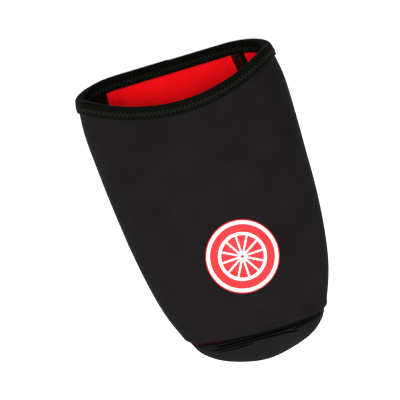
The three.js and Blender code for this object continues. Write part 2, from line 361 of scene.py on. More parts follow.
    def seam_plane(self) -> tuple[Array, Array]:
        """Return a point of the toe seam's plane and the plane's direction ahead.

        Returns:
            A point and a unit vector.
        """
        lean, skew = self.toe_seam_lean, self.toe_seam_skew
        direction = np.array(
            [math.cos(lean) * math.cos(skew), math.cos(lean) * math.sin(skew), -math.sin(lean)]
        )
        place = np.array([self.rear + self.shell_length * self.toe_seam_along, 0, self.side_height])
        return place, direction


@dataclass(frozen=True)
class Crease:
    """A soft trough with ridges beside it. Its path in plan is x, y, x, y and so on, in millimetres."""

    path: tuple[float, ...]
    depth: float
    width: float
    shoulder: float = 0.35
    fade: float = 5.0

    def height(self, x: Array, y: Array) -> Array:
        """Return how far the surface moves out at places in plan.

        Args:
            x: Places along the cover.
            y: Places across the cover.

        Returns:
            Heights in millimetres, negative in the trough.
        """
        nearest = np.full(x.shape, 1e9)
        along = np.zeros(x.shape)
        run = 0.0
        knots = np.reshape(self.path, (-1, 2)).tolist()
        for (x0, y0), (x1, y1) in zip(knots, knots[1:]):
            dx, dy = x1 - x0, y1 - y0
            size = math.hypot(dx, dy)
            share = np.clip(((x - x0) * dx + (y - y0) * dy) / size**2, 0, 1)
            distance = np.hypot(x - x0 - share * dx, y - y0 - share * dy)
            along = np.where(distance < nearest, run + share * size, along)
            nearest = np.minimum(nearest, distance)
            run += size
        strength = smooth_step(along, 0, self.fade) * smooth_step(run - along, 0, self.fade)
        trough = bump_curve(nearest, self.width)
        ridge = bump_curve(nearest - 2 * self.width, self.width)
        return self.depth * strength * (self.shoulder * ridge - trough)


@dataclass(frozen=True)
class Relief:
    """How the cloth departs from the bare last: the toe seam's groove, gathered creases and slow waves, and
    the painted shade of the creases.
    """

    last: LastShape
    groove_depth: float = 0.8
    groove_width: float = 0.8
    roll_height: float = 0.25
    roll_behind: float = 2.2
    roll_width: float = 1.6
    dip_depth: float = 0.3
    dip_ahead: float = 1.5
    dip_width: float = 2.2
    crease_levels: tuple[float, float] = (16, 22)
    # Painted crease shade: shade_depth scales how deep a fold must sink to darken the knit, shade_start holds
    # back shallow folds.
    shade_depth: float = 0.42
    shade_start: float = 0.22
    deepest: float = 1.5
    cheek_height: float = 2.1
    cheek_middle: tuple[float, float] = (79, 26)
    cheek_spread: tuple[float, float] = (13, 18)
    cheek_rise: tuple[float, float] = (2, 7)
    cheek_fall: tuple[float, float] = (8, 17)
    wave_height: float = 0.14
    wave_sizes: tuple[float, ...] = (11, 17, 14, 9)
    wave_sway: float = 0.7
    wave_start: float = 0.6
    creases: tuple[Crease, ...] = (
        Crease(
            (
                71.9, -31.5, 72.9, -26.6, 73.2, -21.2, 73.4, -15.7, 73.8, -9.2,
                74.3, -0.5, 75.1, 5.8, 75.5, 11.2, 76.5, 16.4, 77.3, 21.0,
            ),
            1.0,
            0.4,
            fade=5,
        ),
        Crease(
            (
                71.6, -25.6, 72.1, -19.7, 72.1, -14.1, 72.5, -8.8, 72.8, -2.8,
                73.2, 3.7, 73.6, 9.6, 73.9, 16.1, 74.1, 22.2, 73.0, 27.1,
            ),
            1.2,
            0.4,
            fade=4,
        ),
        Crease((69.4, -25.8, 70.2, -17.9, 70.4, -12.5, 71.1, -7.2, 72.0, -1.4, 72.6, 4.0), 1.0, 0.38),
        Crease((71.3, -8.0, 72.4, 0.0, 73.2, 8.0, 73.6, 15.0), 0.75, 1.0, shoulder=0.1),
        Crease((72.9, 12.0, 73.4, 17.0, 73.2, 23.0, 72.2, 29.0), 0.8, 0.36),
        Crease((74.0, -28.0, 74.9, -19.5, 75.2, -12.0, 75.1, -4.0), 0.8, 0.38),
        Crease((70.9, -27.5, 71.4, -21.0, 71.8, -14.0, 72.4, -6.0), 0.7, 0.34),
        # Broad shallow trough, there mostly for the painted shade it lays over the fan of creases.
        Crease((71.2, -28.0, 72.6, -14.0, 73.4, 0.0, 74.2, 13.0), 0.2, 3.2, shoulder=0),
        Crease((75.2, 13.0, 75.3, 19.0, 74.6, 25.0, 73.4, 30.0), 0.7, 0.38),
        # Weak broad trough, there mostly for the painted shade it gives just below the seam towards +Y.
        Crease((73.8, 14.0, 74.2, 21.0, 73.4, 28.0, 71.6, 34.0), 0.12, 2.4, shoulder=0),
        Crease((66.8, -20, 67.6, -6, 68.4, 8, 68.6, 20), 0.2, 1.4),
    )

    def height(self, points: Array) -> Array:
        """Return how far the outside moves out at points of the last.

        Args:
            points: Points in millimetres with a last axis of three.

        Returns:
            Heights in millimetres.
        """
        x, y, z = (points[..., axis] for axis in range(3))
        along, sway, across, up = self.wave_sizes
        waves = np.sin(x / along + self.wave_sway * np.sin(y / sway))
        waves = waves * np.sin(y / across + z / up + self.wave_start)
        low = z - self.last.sole_line(x)
        level = smooth_step(low, *self.cheek_rise) * (1 - smooth_step(low, *self.cheek_fall))
        (middle_x, middle_y), (spread_x, spread_y) = self.cheek_middle, self.cheek_spread
        away = ((x - middle_x) / spread_x) ** 2 + ((y - middle_y) / spread_y) ** 2
        cheek = self.cheek_height * np.exp(-away) * level
        return self.folds(points) + self.wave_height * waves + cheek

    def folds(self, points: Array) -> Array:
        """Return the part of the height that comes from the seam's groove and the creases.

        Args:
            points: Points in millimetres with a last axis of three.

        Returns:
            Heights in millimetres.
        """
        x, y, z = (points[..., axis] for axis in range(3))
        near = self.last.seam_distance(points)
        groove = self.groove_depth * bump_curve(near, self.groove_width)
        roll = self.roll_height * bump_curve(near + self.roll_behind, self.roll_width) * (near < 0)
        dip = self.dip_depth * bump_curve(near - self.dip_ahead, self.dip_width) * (near > 0)
        top = smooth_step(z, *self.crease_levels)
        gathered = sum(crease.height(x, y) for crease in self.creases) * top - groove + roll - dip
        return np.maximum(gathered, -self.deepest)

    def shade(self, points: Array) -> Array:
        """Return the painted crease shade at points, 0 to 1, from how deep they lie in a crease."""
        return np.clip(-self.folds(points) / self.shade_depth - self.shade_start, 0, 1)


@dataclass
class Surface:
    """A mesh in the making: points in millimetres, UV pairs in metres and a material number for each face."""

    points: list[Array] = field(default_factory=list)
    # Painted crease shade of each point, 0 to 1.
    painted_shades: list[Array] = field(default_factory=list)
    loops: list[Array] = field(default_factory=list)
    sizes: list[Array] = field(default_factory=list)
    corners: list[Array] = field(default_factory=list)
    finishes: list[Array] = field(default_factory=list)
    count: int = 0

    def add_points(self, points: Array, shade: Array | None = None) -> Array:
        """Add points and return their numbers in the same grid shape.

        Args:
            points: Points with a last axis of three.
            shade: Painted crease shade of each point, 0 to 1, from how deep it lies in a crease.

        Returns:
            Vertex numbers.
        """
        flat = points.reshape(-1, 3)
        self.points.append(flat)
        self.painted_shades.append(np.zeros(len(flat)) if shade is None else shade.ravel())
        numbers = np.arange(self.count, self.count + len(flat)).reshape(points.shape[:-1])
        self.count += len(flat)
        return numbers

    def add_faces(self, faces: Array, corners: Array, finish: int) -> None:
        """Add faces with the same number of corners.

        Args:
            faces: Vertex numbers, faces by corners.
            corners: UV pairs of the corners, in metres.
            finish: Material number of the faces.
        """
        self.loops.append(faces.ravel())
        self.sizes.append(np.full(len(faces), faces.shape[1]))
        self.corners.append(corners.reshape(-1, 2))
        self.finishes.append(np.full(len(faces), finish))

    def add_grid(self, numbers: Array, uv: Array, finish: int, flip: bool = False) -> None:
        """Add the quads of a grid of vertex numbers, with a triangle where two corners are one.

        Args:
            numbers: Vertex numbers, rows by columns.
            uv: UV pairs of the same grid, in metres.
            finish: Material number of the quads.
            flip: True turns the quads round.
        """
        order = (3, 2, 1, 0) if flip else (0, 1, 2, 3)
        views = (np.s_[:-1, :-1], np.s_[1:, :-1], np.s_[1:, 1:], np.s_[:-1, 1:])
        quads = np.stack([numbers[views[place]].ravel() for place in order], axis=1)
        pairs = np.stack([uv[views[place]].reshape(-1, 2) for place in order], axis=1)
        following = np.roll(quads, -1, axis=1)
        whole = (quads != following).all(axis=1)
        self.add_faces(quads[whole], pairs[whole], finish)
        for quad, pair in zip(quads[~whole], pairs[~whole]):
            kept = quad != np.roll(quad, -1)
            if kept.sum() == 3:
                self.add_faces(quad[kept][None], pair[kept][None], finish)

    def add_strip(self, first: Array, second: Array, uv: Array, finish: int, flip: bool = False) -> None:
        """Add the quads between two rows of vertex numbers that share their UV pairs."""
        self.add_grid(np.stack([first, second]), np.stack([uv, uv]), finish, flip)

    def to_mesh(self, name: str) -> Mesh:
        """Make a mesh in metres, without the vertices that no face uses.

        Args:
            name: Name of the mesh.

        Returns:
            The mesh, smooth, with a UV map named cloth and the attribute crease, which holds the painted
            crease shade.
        """
        loops = np.concatenate(self.loops)
        sizes = np.concatenate(self.sizes)
        used, loops = np.unique(loops, return_inverse=True)
        mesh = bpy.data.meshes.new(name)
        mesh.vertices.add(len(used))
        mesh.vertices.foreach_set("co", (np.concatenate(self.points)[used] * MM).ravel())
        mesh.loops.add(len(loops))
        mesh.loops.foreach_set("vertex_index", loops.ravel().astype(np.int32))
        mesh.polygons.add(len(sizes))
        starts = np.concatenate([[0], np.cumsum(sizes)[:-1]])
        mesh.polygons.foreach_set("loop_start", starts.astype(np.int32))
        mesh.update(calc_edges=True)
        mesh.polygons.foreach_set("material_index", np.concatenate(self.finishes).astype(np.int32))
        mesh.polygons.foreach_set("use_smooth", np.ones(len(sizes), dtype=bool))
        layer = mesh.uv_layers.new(name="cloth")
        layer.data.foreach_set("uv", np.concatenate(self.corners).ravel())
        # The attribute crease carries the painted crease shade to the knit's colour.
        crease = mesh.attributes.new("crease", "FLOAT", "POINT")
        crease.data.foreach_set("value", np.concatenate(self.painted_shades)[used].astype(np.float32))
        mesh.validate()
        return mesh


def add_object(name: str, mesh: Mesh, materials: list[Material]) -> Object:
    """Put a mesh into the scene with its materials.

    Args:
        name: Name of the object and its mesh.
        mesh: The mesh, in metres and in place.
        materials: Its materials, in the order of the faces' material numbers.

    Returns:
        The new object at the origin.
    """
    for material in materials:
        mesh.materials.append(material)
    piece = bpy.data.objects.new(name, mesh)
    bpy.context.scene.collection.objects.link(piece)
    return piece


def dress(piece: Object, slot: Slot, *nodes: str) -> Object:
    """Let a piece ride on the cover, hide the solids it stands for, and log its triangles, slot and solids.

    Args:
        piece: The finished piece.
        slot: Material slot of the record.
        nodes: Names of the solids it replaces.

    Returns:
        The piece.
    """
    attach(piece, "root")
    if nodes:
        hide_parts(*nodes)
    piece.data.calc_loop_triangles()
    triangles = len(piece.data.loop_triangles)
    LOG.info("%s: %d triangles, slot %s, stands for %s", piece.name, triangles, slot.value, nodes)
    return piece


@dataclass
class NodeSheet:
    """A node tree with a short way to add its nodes."""

    tree: Tree

    def add(self, kind: str, inputs: dict[str | int, object] | None = None, **settings: object) -> Node:
        """Add a node.

        Args:
            kind: Type of the node.
            inputs: Values or sockets by the names or numbers of the node's inputs.
            settings: Properties of the node.

        Returns:
            The node.
        """
        node = self.tree.nodes.new(kind)
        for name, value in settings.items():
            setattr(node, name, value)
        for name, value in (inputs or {}).items():
            self.give(node.inputs[name], value)
        return node

    def give(self, target: Socket, value: object) -> None:
        """Link an input to a socket, or set it to a value.

        Args:
            target: The input.
            value: A socket to link from, or a plain value.
        """
        if isinstance(value, Socket):
            self.tree.links.new(value, target)
        else:
            target.default_value = value


@dataclass
class ShaderSheet(NodeSheet):
    """A material's node tree with short ways to add what the finishes share."""

    @cached_property
    def room(self) -> Socket:
        """The piece's own coordinates in metres."""
        return self.place(by_uv=False)

    @cached_property
    def cloth(self) -> Socket:
        """The coordinates of the piece's UV map in metres."""
        return self.place(by_uv=True)

    @property
    def shader(self) -> Node:
        """The material's own surface shader."""
        return self.tree.nodes["Principled BSDF"]

    def set(self, **values: float | Colour) -> None:
        """Set sockets of the shader by their names.

        Args:
            values: Numbers or colours by the sockets' names, with underscores for blanks.
        """
        for name, value in values.items():
            words = name.replace("_", " ")
            socket = next(s for s in self.shader.inputs if s.name.lower() == words.lower())
            socket.default_value = (*value, 1.0) if isinstance(value, tuple) else value

    def place(self, by_uv: bool, scale: tuple[float, ...] = (1, 1, 1), turn: float = 0) -> Socket:
        """Return coordinates in metres, scaled and turned.

        Args:
            by_uv: True reads the piece's UV map, False its object coordinates.
            scale: Factors along the three axes.
            turn: Angle about the third axis in radians.

        Returns:
            The socket with the coordinates.
        """
        source = self.add("ShaderNodeTexCoord").outputs["UV" if by_uv else "Object"]
        inputs = {"Vector": source, "Scale": scale, "Rotation": (0, 0, turn)}
        return self.add("ShaderNodeMapping", inputs).outputs["Vector"]

    def noise(self, per_metre: float, detail: float = 3) -> Socket:
        """Return a cloud pattern of about 0 to 1."""
        inputs = {"Vector": self.room, "Scale": per_metre, "Detail": detail}
        return self.add("ShaderNodeTexNoise", inputs).outputs["Fac"]

    def wave(self, vector: Socket, period: float, axis: str = "X", wobble: float = 0) -> Socket:
        """Return soft stripes.

        Args:
            vector: Coordinates in metres.
            period: Distance from stripe to stripe in metres.
            axis: Direction across the stripes: X, Y or Z.
            wobble: How far the stripes wander.

        Returns:
            A socket of 0 to 1.
        """
        inputs = {"Vector": vector, "Scale": math.pi / (10 * period), "Distortion": wobble}
        settings = {"wave_type": "BANDS", "bands_direction": axis, "wave_profile": "SIN"}
        return self.add("ShaderNodeTexWave", inputs, **settings).outputs["Fac"]

    def math(self, operation: str, first: Socket | float, second: Socket | float) -> Socket:
        """Return the result of a math node on two sockets or numbers."""
        return self.add("ShaderNodeMath", {0: first, 1: second}, operation=operation).outputs["Value"]

    def blend(self, first: Socket, second: Socket, share: float) -> Socket:
        """Return a share of the first pattern with the rest of the second."""
        parts = (self.math("MULTIPLY", first, share), self.math("MULTIPLY", second, 1 - share))
        return self.math("ADD", *parts)

    def ramp(self, value: Socket, *stops: tuple[float, Colour]) -> Socket:
        """Return colours by a value.

        Args:
            value: The value, 0 to 1.
            stops: Two pairs of place and linear colour.

        Returns:
            The socket with the colour.
        """
        node = self.add("ShaderNodeValToRGB", {"Fac": value})
        for element, (place, colour) in zip(node.color_ramp.elements, stops):
            element.position = place
            element.color = (*colour, 1.0)
        return node.outputs["Color"]

    def bump(self, *layers: tuple[Socket, float]) -> None:
        """Give the shader bumps.

        Args:
            layers: Patterns with their heights in metres.
        """
        previous = {}
        for pattern, height in layers:
            inputs = {"Strength": 1.0, "Distance": height, "Height": pattern, **previous}
            previous = {"Normal": self.add("ShaderNodeBump", inputs).outputs["Normal"]}
        self.give(self.shader.inputs["Normal"], previous["Normal"])

    def attribute(self, name: str) -> Socket:
        """Return a value that the mesh carries."""
        return self.add("ShaderNodeAttribute", attribute_name=name).outputs["Fac"]

    def darker(self, colour: Socket, amount: Socket, strength: float) -> Socket:
        """Return a colour that goes towards black where the amount rises to one.

        Args:
            colour: The colour.
            amount: Where it darkens, 0 to 1.
            strength: How much it darkens there.

        Returns:
            The socket of the result.
        """
        rest = 1 - strength
        factor, first, second = 0, 6, 7
        inputs = {factor: amount, first: colour, second: (rest, rest, rest, 1)}
        node = self.add("ShaderNodeMix", inputs, data_type="RGBA", blend_type="MULTIPLY")
        return next(socket for socket in node.outputs if socket.type == "RGBA")

    def colour(self, source: Socket) -> None:
        """Give the shader its base colour."""
        self.give(self.shader.inputs["Base Color"], source)

    def roughness(self, pattern: Socket, low: float, high: float) -> None:
        """Give the shader a roughness between two values by a pattern of 0 to 1."""
        node = self.add("ShaderNodeMapRange", {"Value": pattern, "To Min": low, "To Max": high})
        self.give(self.shader.inputs["Roughness"], node.outputs["Result"])


@dataclass(frozen=True)
class Finish:
    """A finish with a name, a dark and a light shade. Each kind paints its own patterns."""

    name: str
    dark: Colour
    light: Colour

    def material(self) -> Material:
        """Return the finish as a new material.

        Returns:
            The material.
        """
        material = bpy.data.materials.new(self.name)
        material.use_nodes = True
        self.paint(ShaderSheet(material.node_tree))
        return material

    def paint(self, sheet: ShaderSheet) -> None:
        """Lay the finish's patterns into a new material's sheet."""
        raise NotImplementedError


@dataclass(frozen=True)
class KnitFinish(Finish):
    """Fine jersey on the outside of the foam rubber: wales, courses, a faint sheen and painted shade in the
    creases.
    """
    sheen: float = 0.004
    wale: float = 0.00055
    course: float = 0.00042

    def paint(self, sheet: ShaderSheet) -> None:
        """Lay the wales, courses and fluff, and the painted shade of the creases.

        Args:
            sheet: The new material's sheet.
        """
        wales = sheet.wave(sheet.cloth, self.wale, "Y")
        courses = sheet.wave(sheet.cloth, self.course, "X", wobble=0.6)
        loops = sheet.math("MULTIPLY", wales, courses)
        cloud = sheet.noise(60, detail=4)
        fluff = sheet.noise(2600, detail=2)
        shade = sheet.blend(loops, cloud, 0.35)
        open_cloth = sheet.ramp(shade, (0.25, self.dark), (0.75, self.light))
        # Painted shade: the knit goes nearly black where the attribute crease says a point lies deep in a
        # crease.
        sheet.colour(sheet.darker(open_cloth, sheet.attribute("crease"), 0.9))
        sheet.roughness(cloud, 0.74, 0.9)
        sheet.bump((cloud, 0.0006), (loops, 0.00008), (fluff, 0.00005))
        sheet.set(sheen_weight=self.sheen, sheen_roughness=0.45, sheen_tint=linear(190, 200, 225))
        sheet.set(specular_ior_level=0.03)


@dataclass(frozen=True)
class LiningFinish(Finish):
    """Red lining of brushed knit, soft and even with a short nap."""

    name: str = "red_lining"
    dark: Colour = linear(216, 7, 14)
    light: Colour = linear(245, 12, 23)

    def paint(self, sheet: ShaderSheet) -> None:
        """Lay the wales and nap.

        Args:
            sheet: The new material's sheet.
        """
        wales = sheet.wave(sheet.cloth, 0.0007, "Y")
        nap = sheet.noise(1800, detail=3)
        cloud = sheet.noise(45, detail=3)
        shade = sheet.blend(nap, cloud, 0.4)
        sheet.colour(sheet.ramp(shade, (0.3, self.dark), (0.62, self.light)))
        sheet.roughness(nap, 0.75, 0.95)
        sheet.bump((cloud, 0.0005), (wales, 0.00006), (nap, 0.00012))
        sheet.set(sheen_weight=0.02, sheen_roughness=0.5, sheen_tint=linear(255, 120, 110))
        sheet.set(specular_ior_level=0.06)


@dataclass(frozen=True)
class FilmFinish(Finish):
    """Glossy coral film on the underside, with a faint orange peel."""

    name: str = "coral_film"
    dark: Colour = linear(236, 40, 42)
    light: Colour = linear(252, 66, 64)

    def paint(self, sheet: ShaderSheet) -> None:
        """Lay the clouds, peel and scuffs.

        Args:
            sheet: The new material's sheet.
        """
        cloud = sheet.noise(35, detail=3)
        peel = sheet.noise(900, detail=2)
        long_way = sheet.place(by_uv=False, scale=(1, 6, 1))
        inputs = {"Vector": long_way, "Scale": 160, "Detail": 5, "Roughness": 0.7}
        scuff = sheet.add("ShaderNodeTexNoise", inputs).outputs["Fac"]
        sheet.colour(sheet.ramp(cloud, (0.35, self.dark), (0.65, self.light)))
        sheet.roughness(scuff, 0.22, 0.42)
        sheet.bump((cloud, 0.0008), (peel, 0.00004))
        sheet.set(coat_weight=0.5, coat_roughness=0.18, specular_ior_level=0.5)


@dataclass(frozen=True)
class FoamFinish(Finish):
    """Raw edge of the foam rubber, black with fine closed cells."""

    name: str = "foam_edge"
    dark: Colour = linear(14, 14, 15)
    light: Colour = linear(38, 37, 38)

    def paint(self, sheet: ShaderSheet) -> None:
        """Lay the cells.

        Args:
            sheet: The new material's sheet.
        """
        cells = sheet.add("ShaderNodeTexVoronoi", {"Vector": sheet.room, "Scale": 3200})
        distance = cells.outputs["Distance"]
        sheet.colour(sheet.ramp(distance, (0.1, self.dark), (0.6, self.light)))
        sheet.roughness(distance, 0.8, 0.95)
        sheet.bump((distance, 0.00012))
        sheet.set(specular_ior_level=0.25)


@dataclass(frozen=True)
class TapeFinish(Finish):
    """Binding tape of stretch braid: fine ribs along its length and a crossing weave."""

    name: str = "folded_tape"
    dark: Colour = linear(4, 5, 3)
    light: Colour = linear(12, 14, 10)
    rib: float = 0.0009
    pick: float = 0.0006

    def paint(self, sheet: ShaderSheet) -> None:
        """Lay the ribs, picks and fluff.

        Args:
            sheet: The new material's sheet.
        """
        slanted = sheet.place(by_uv=True, turn=math.radians(38))
        ribs = sheet.wave(sheet.cloth, self.rib, "Y")
        picks = sheet.wave(slanted, self.pick, "X")
        fluff = sheet.noise(2200, detail=2)
        weave = sheet.blend(ribs, picks, 0.5)
        shade = sheet.blend(weave, fluff, 0.6)
        sheet.colour(sheet.ramp(shade, (0.2, self.dark), (0.8, self.light)))
        sheet.roughness(fluff, 0.75, 0.95)
        sheet.bump((ribs, 0.00012), (picks, 0.0001), (fluff, 0.00004))
        sheet.set(specular_ior_level=0.03)


@dataclass(frozen=True)
class ThreadFinish(Finish):
    """Sewing thread, with the lay of its plies and a soft shine."""

    def paint(self, sheet: ShaderSheet) -> None:
        """Lay the plies.

        Args:
            sheet: The new material's sheet.
        """
        plies = sheet.noise(4200, detail=2)
        sheet.colour(sheet.ramp(plies, (0.3, self.dark), (0.7, self.light)))
        sheet.roughness(plies, 0.45, 0.7)
        sheet.bump((plies, 0.00006))
        sheet.set(sheen_weight=0.02, sheen_roughness=0.4, specular_ior_level=0.08)


@dataclass(frozen=True)
class PrintFinish(Finish):
    """Heat pressed print, slightly soft, with a fine grain."""

    def paint(self, sheet: ShaderSheet) -> None:
        """Lay the clouds and grain.

        Args:
            sheet: The new material's sheet.
        """
        cloud = sheet.noise(70, detail=4)
        grain = sheet.noise(1500, detail=3)
        sheet.colour(sheet.ramp(cloud, (0.3, self.dark), (0.7, self.light)))
        sheet.roughness(grain, 0.42, 0.62)
        sheet.bump((cloud, 0.0003), (grain, 0.00005))
        sheet.set(specular_ior_level=0.12)


@dataclass(frozen=True)
class FloorFinish(Finish):
    """Pale matt paper under the cover."""

    name: str = "pale_floor"
    dark: Colour = linear(247, 247, 247)
    light: Colour = linear(251, 251, 251)

    def paint(self, sheet: ShaderSheet) -> None:
        """Lay the tooth.

        Args:
            sheet: The new material's sheet.
        """
        tooth = sheet.noise(900, detail=3)
        sheet.colour(sheet.ramp(tooth, (0.3, self.dark), (0.7, self.light)))
        sheet.roughness(tooth, 0.8, 0.9)
        sheet.bump((tooth, 0.00003))
        sheet.set(specular_ior_level=0.2)
        sheet.set(emission_color=linear(255, 255, 255), emission_strength=0.3)


def made(finish: Finish) -> Material:
    """Return a field that holds a finish's material, made with the wardrobe."""
    return field(default_factory=finish.material)


@dataclass
class Wardrobe:
    """The finishes of the cover, each made once, in this order."""

    knit: Material = made(KnitFinish("black_knit", linear(18, 16, 17), linear(27, 25, 26)))
    toe_knit: Material = made(KnitFinish("toe_knit", linear(16, 16, 16), linear(26, 26, 25)))
    lining: Material = made(LiningFinish())
    film: Material = made(FilmFinish())
    foam: Material = made(FoamFinish())
    tape: Material = made(TapeFinish())
    dark_thread: Material = made(ThreadFinish("dark_thread", linear(8, 8, 8), linear(26, 26, 26)))
    tape_thread: Material = made(ThreadFinish("tape_thread", linear(12, 15, 10), linear(38, 42, 32)))
    red_thread: Material = made(ThreadFinish("red_thread", linear(66, 6, 11), linear(132, 14, 24)))
    dots: Material = made(ThreadFinish("grip_dots", linear(24, 14, 14), linear(52, 34, 34)))
    red_print: Material = made(PrintFinish("red_print", linear(214, 32, 36), linear(226, 42, 46)))
    white_print: Material = made(PrintFinish("white_print", linear(232, 228, 226), linear(246, 243, 241)))


@dataclass
class ShellPanel:
    """A panel of the foam rubber shell: black knit outside and red lining inside, cut at the toe seam."""

    last: LastShape
    relief: Relief
    reach: float = 1.0
    station_steps: int = 340
    lower_steps: int = 34
    upper_steps: int = 72
    inset: float = 0.0
    ahead: bool = False
    seam_gap: float = 0.03
    calm_stations: tuple[float, float] = (0.9, 0.97)
    sampled_station: float = 0.45
    samples: int = 800

    def turns(self) -> Array:
        """Return turns that lie evenly along a section halfway between collar and tip.

        Returns:
            The turns, from 0 to 2.
        """
        values = []
        for low, high, count in ((0, 1, self.lower_steps), (1, 2, self.upper_steps)):
            dense = np.linspace(low, high, self.samples)
            points = self.last.point(self.sampled_station, dense)
            run = way_along(points)
            values.append(np.interp(np.linspace(0, run[-1], count + 1), run, dense))
        return np.concatenate([values[0], values[1][1:]])

    def build(self, name: str) -> Mesh:
        """Build the panel's mesh.

        Args:
            name: Name of the mesh.

        Returns:
            A closed mesh with material 0 outside, 1 inside and 2 on cut edges.
        """
        stations = np.linspace(-self.reach, self.reach, self.station_steps + 1)
        turns = self.turns()
        s, t = np.meshgrid(stations, turns, indexing="ij")
        points = self.last.point(s, t)
        normals = self.last.normal(s, t)
        calm = 1 - smooth_step(np.abs(s), *self.calm_stations)
        lift = self.relief.height(points) * calm - self.inset
        outer = points + normals * lift[..., None]
        # Painted shade for the creases, which darkens the outer knit's colour there.
        shade = self.relief.shade(points)
        inner = points - normals * self.last.upper_wall
        uv = self.cloth_places(points)

        surface = Surface()
        layers = []
        # Only the outside carries the painted crease shade; depth here is that shade.
        for layer, depth in ((outer, shade), (inner, None)):
            numbers = surface.add_points(layer, depth)
            middle = len(stations) // 2
            numbers[middle + 1 :, -1] = numbers[:middle, -1][::-1]
            layers.append(numbers)
        surface.add_grid(layers[0], uv, 0)
        surface.add_grid(layers[1], uv, 1, flip=True)
        for edge, flip in ((np.s_[:, 0], False), (np.s_[0, :], True), (np.s_[-1, :], False)):
            surface.add_strip(layers[1][edge], layers[0][edge], uv[edge], 2, flip)
        mesh = surface.to_mesh(name)
        self.cut_at_seam(mesh)
        return mesh

    def cloth_places(self, points: Array) -> Array:
        """Return UV pairs in metres: the ways from the collar and from the crest, alike on both sides.

        Args:
            points: Grid of points, stations by turns.

        Returns:
            Grid of pairs.
        """
        along = np.linalg.norm(np.diff(points, axis=0), axis=-1)
        run = np.concatenate([np.zeros((1, points.shape[1])), np.cumsum(along, axis=0)])
        way = np.minimum(run, run[-1] - run)
        across = np.linalg.norm(np.diff(points, axis=1), axis=-1)
        rise = np.concatenate([np.zeros((points.shape[0], 1)), np.cumsum(across, axis=1)], axis=1)
        return np.stack([way * MM, (rise[:, -1:] - rise) * MM], axis=-1)

    def cut_at_seam(self, mesh: Mesh) -> None:
        """Keep the part behind or ahead of the toe seam and close the cut.

        Args:
            mesh: The panel's mesh in metres, which is changed.
        """
        place, direction = self.last.seam_plane()
        sign = 1 if self.ahead else -1
        place = (place + sign * direction * self.seam_gap / 2) * MM
        work = bmesh.new()
        work.from_mesh(mesh)
        cut = bmesh.ops.bisect_plane(
            work,
            geom=[*work.verts, *work.edges, *work.faces],
            dist=1e-7,
            plane_co=Vector(place),
            plane_no=Vector(direction),
            clear_inner=self.ahead,
            clear_outer=not self.ahead,
        )
        edges = [item for item in cut["geom_cut"] if isinstance(item, bmesh.types.BMEdge)]
        filled = bmesh.ops.triangle_fill(work, use_beauty=True, use_dissolve=False, edges=edges)
        outwards = Vector(direction) * -sign
        for face in filled["geom"]:
            if isinstance(face, bmesh.types.BMFace):
                face.material_index = 2
                face.smooth = False
                face.normal_update()
                if face.normal.dot(outwards) < 0:
                    face.normal_flip()
        loose = [vertex for vertex in work.verts if not vertex.link_faces]
        bmesh.ops.delete(work, geom=loose, context="VERTS")
        work.to_mesh(mesh)
        work.free()


@dataclass
class UpperShell:
    """Main panel of the upper, from the collar to the toe seam."""

    last: LastShape
    relief: Relief
    wardrobe: Wardrobe

    def build(self) -> Object:
        """Build the panel and let it stand for the solid upper.

        Returns:
            The finished piece.
        """
        mesh = ShellPanel(self.last, self.relief).build("upper_shell")
        finishes = [self.wardrobe.knit, self.wardrobe.lining, self.wardrobe.foam]
        return dress(add_object("upper_shell", mesh, finishes), Slot.UPPER, "upper")


@dataclass
class ToeCap:
    """Small panel sewn across the front of the upper."""

    last: LastShape
    relief: Relief
    wardrobe: Wardrobe
    reach: float = 0.42
    station_steps: int = 260

    def build(self) -> Object:
        """Build the panel and let it stand for the solid toe panel.

        Returns:
            The finished piece.
        """
        panel = ShellPanel(
            self.last,
            self.relief,
            reach=self.reach,
            station_steps=self.station_steps,
            lower_steps=28,
            upper_steps=220,
            inset=self.last.toe_panel_inset,
            ahead=True,
        )
        finishes = [self.wardrobe.toe_knit, self.wardrobe.lining, self.wardrobe.foam]
        return dress(add_object("toe_cap", panel.build("toe_cap"), finishes), Slot.TOE_PANEL, "toe_panel")


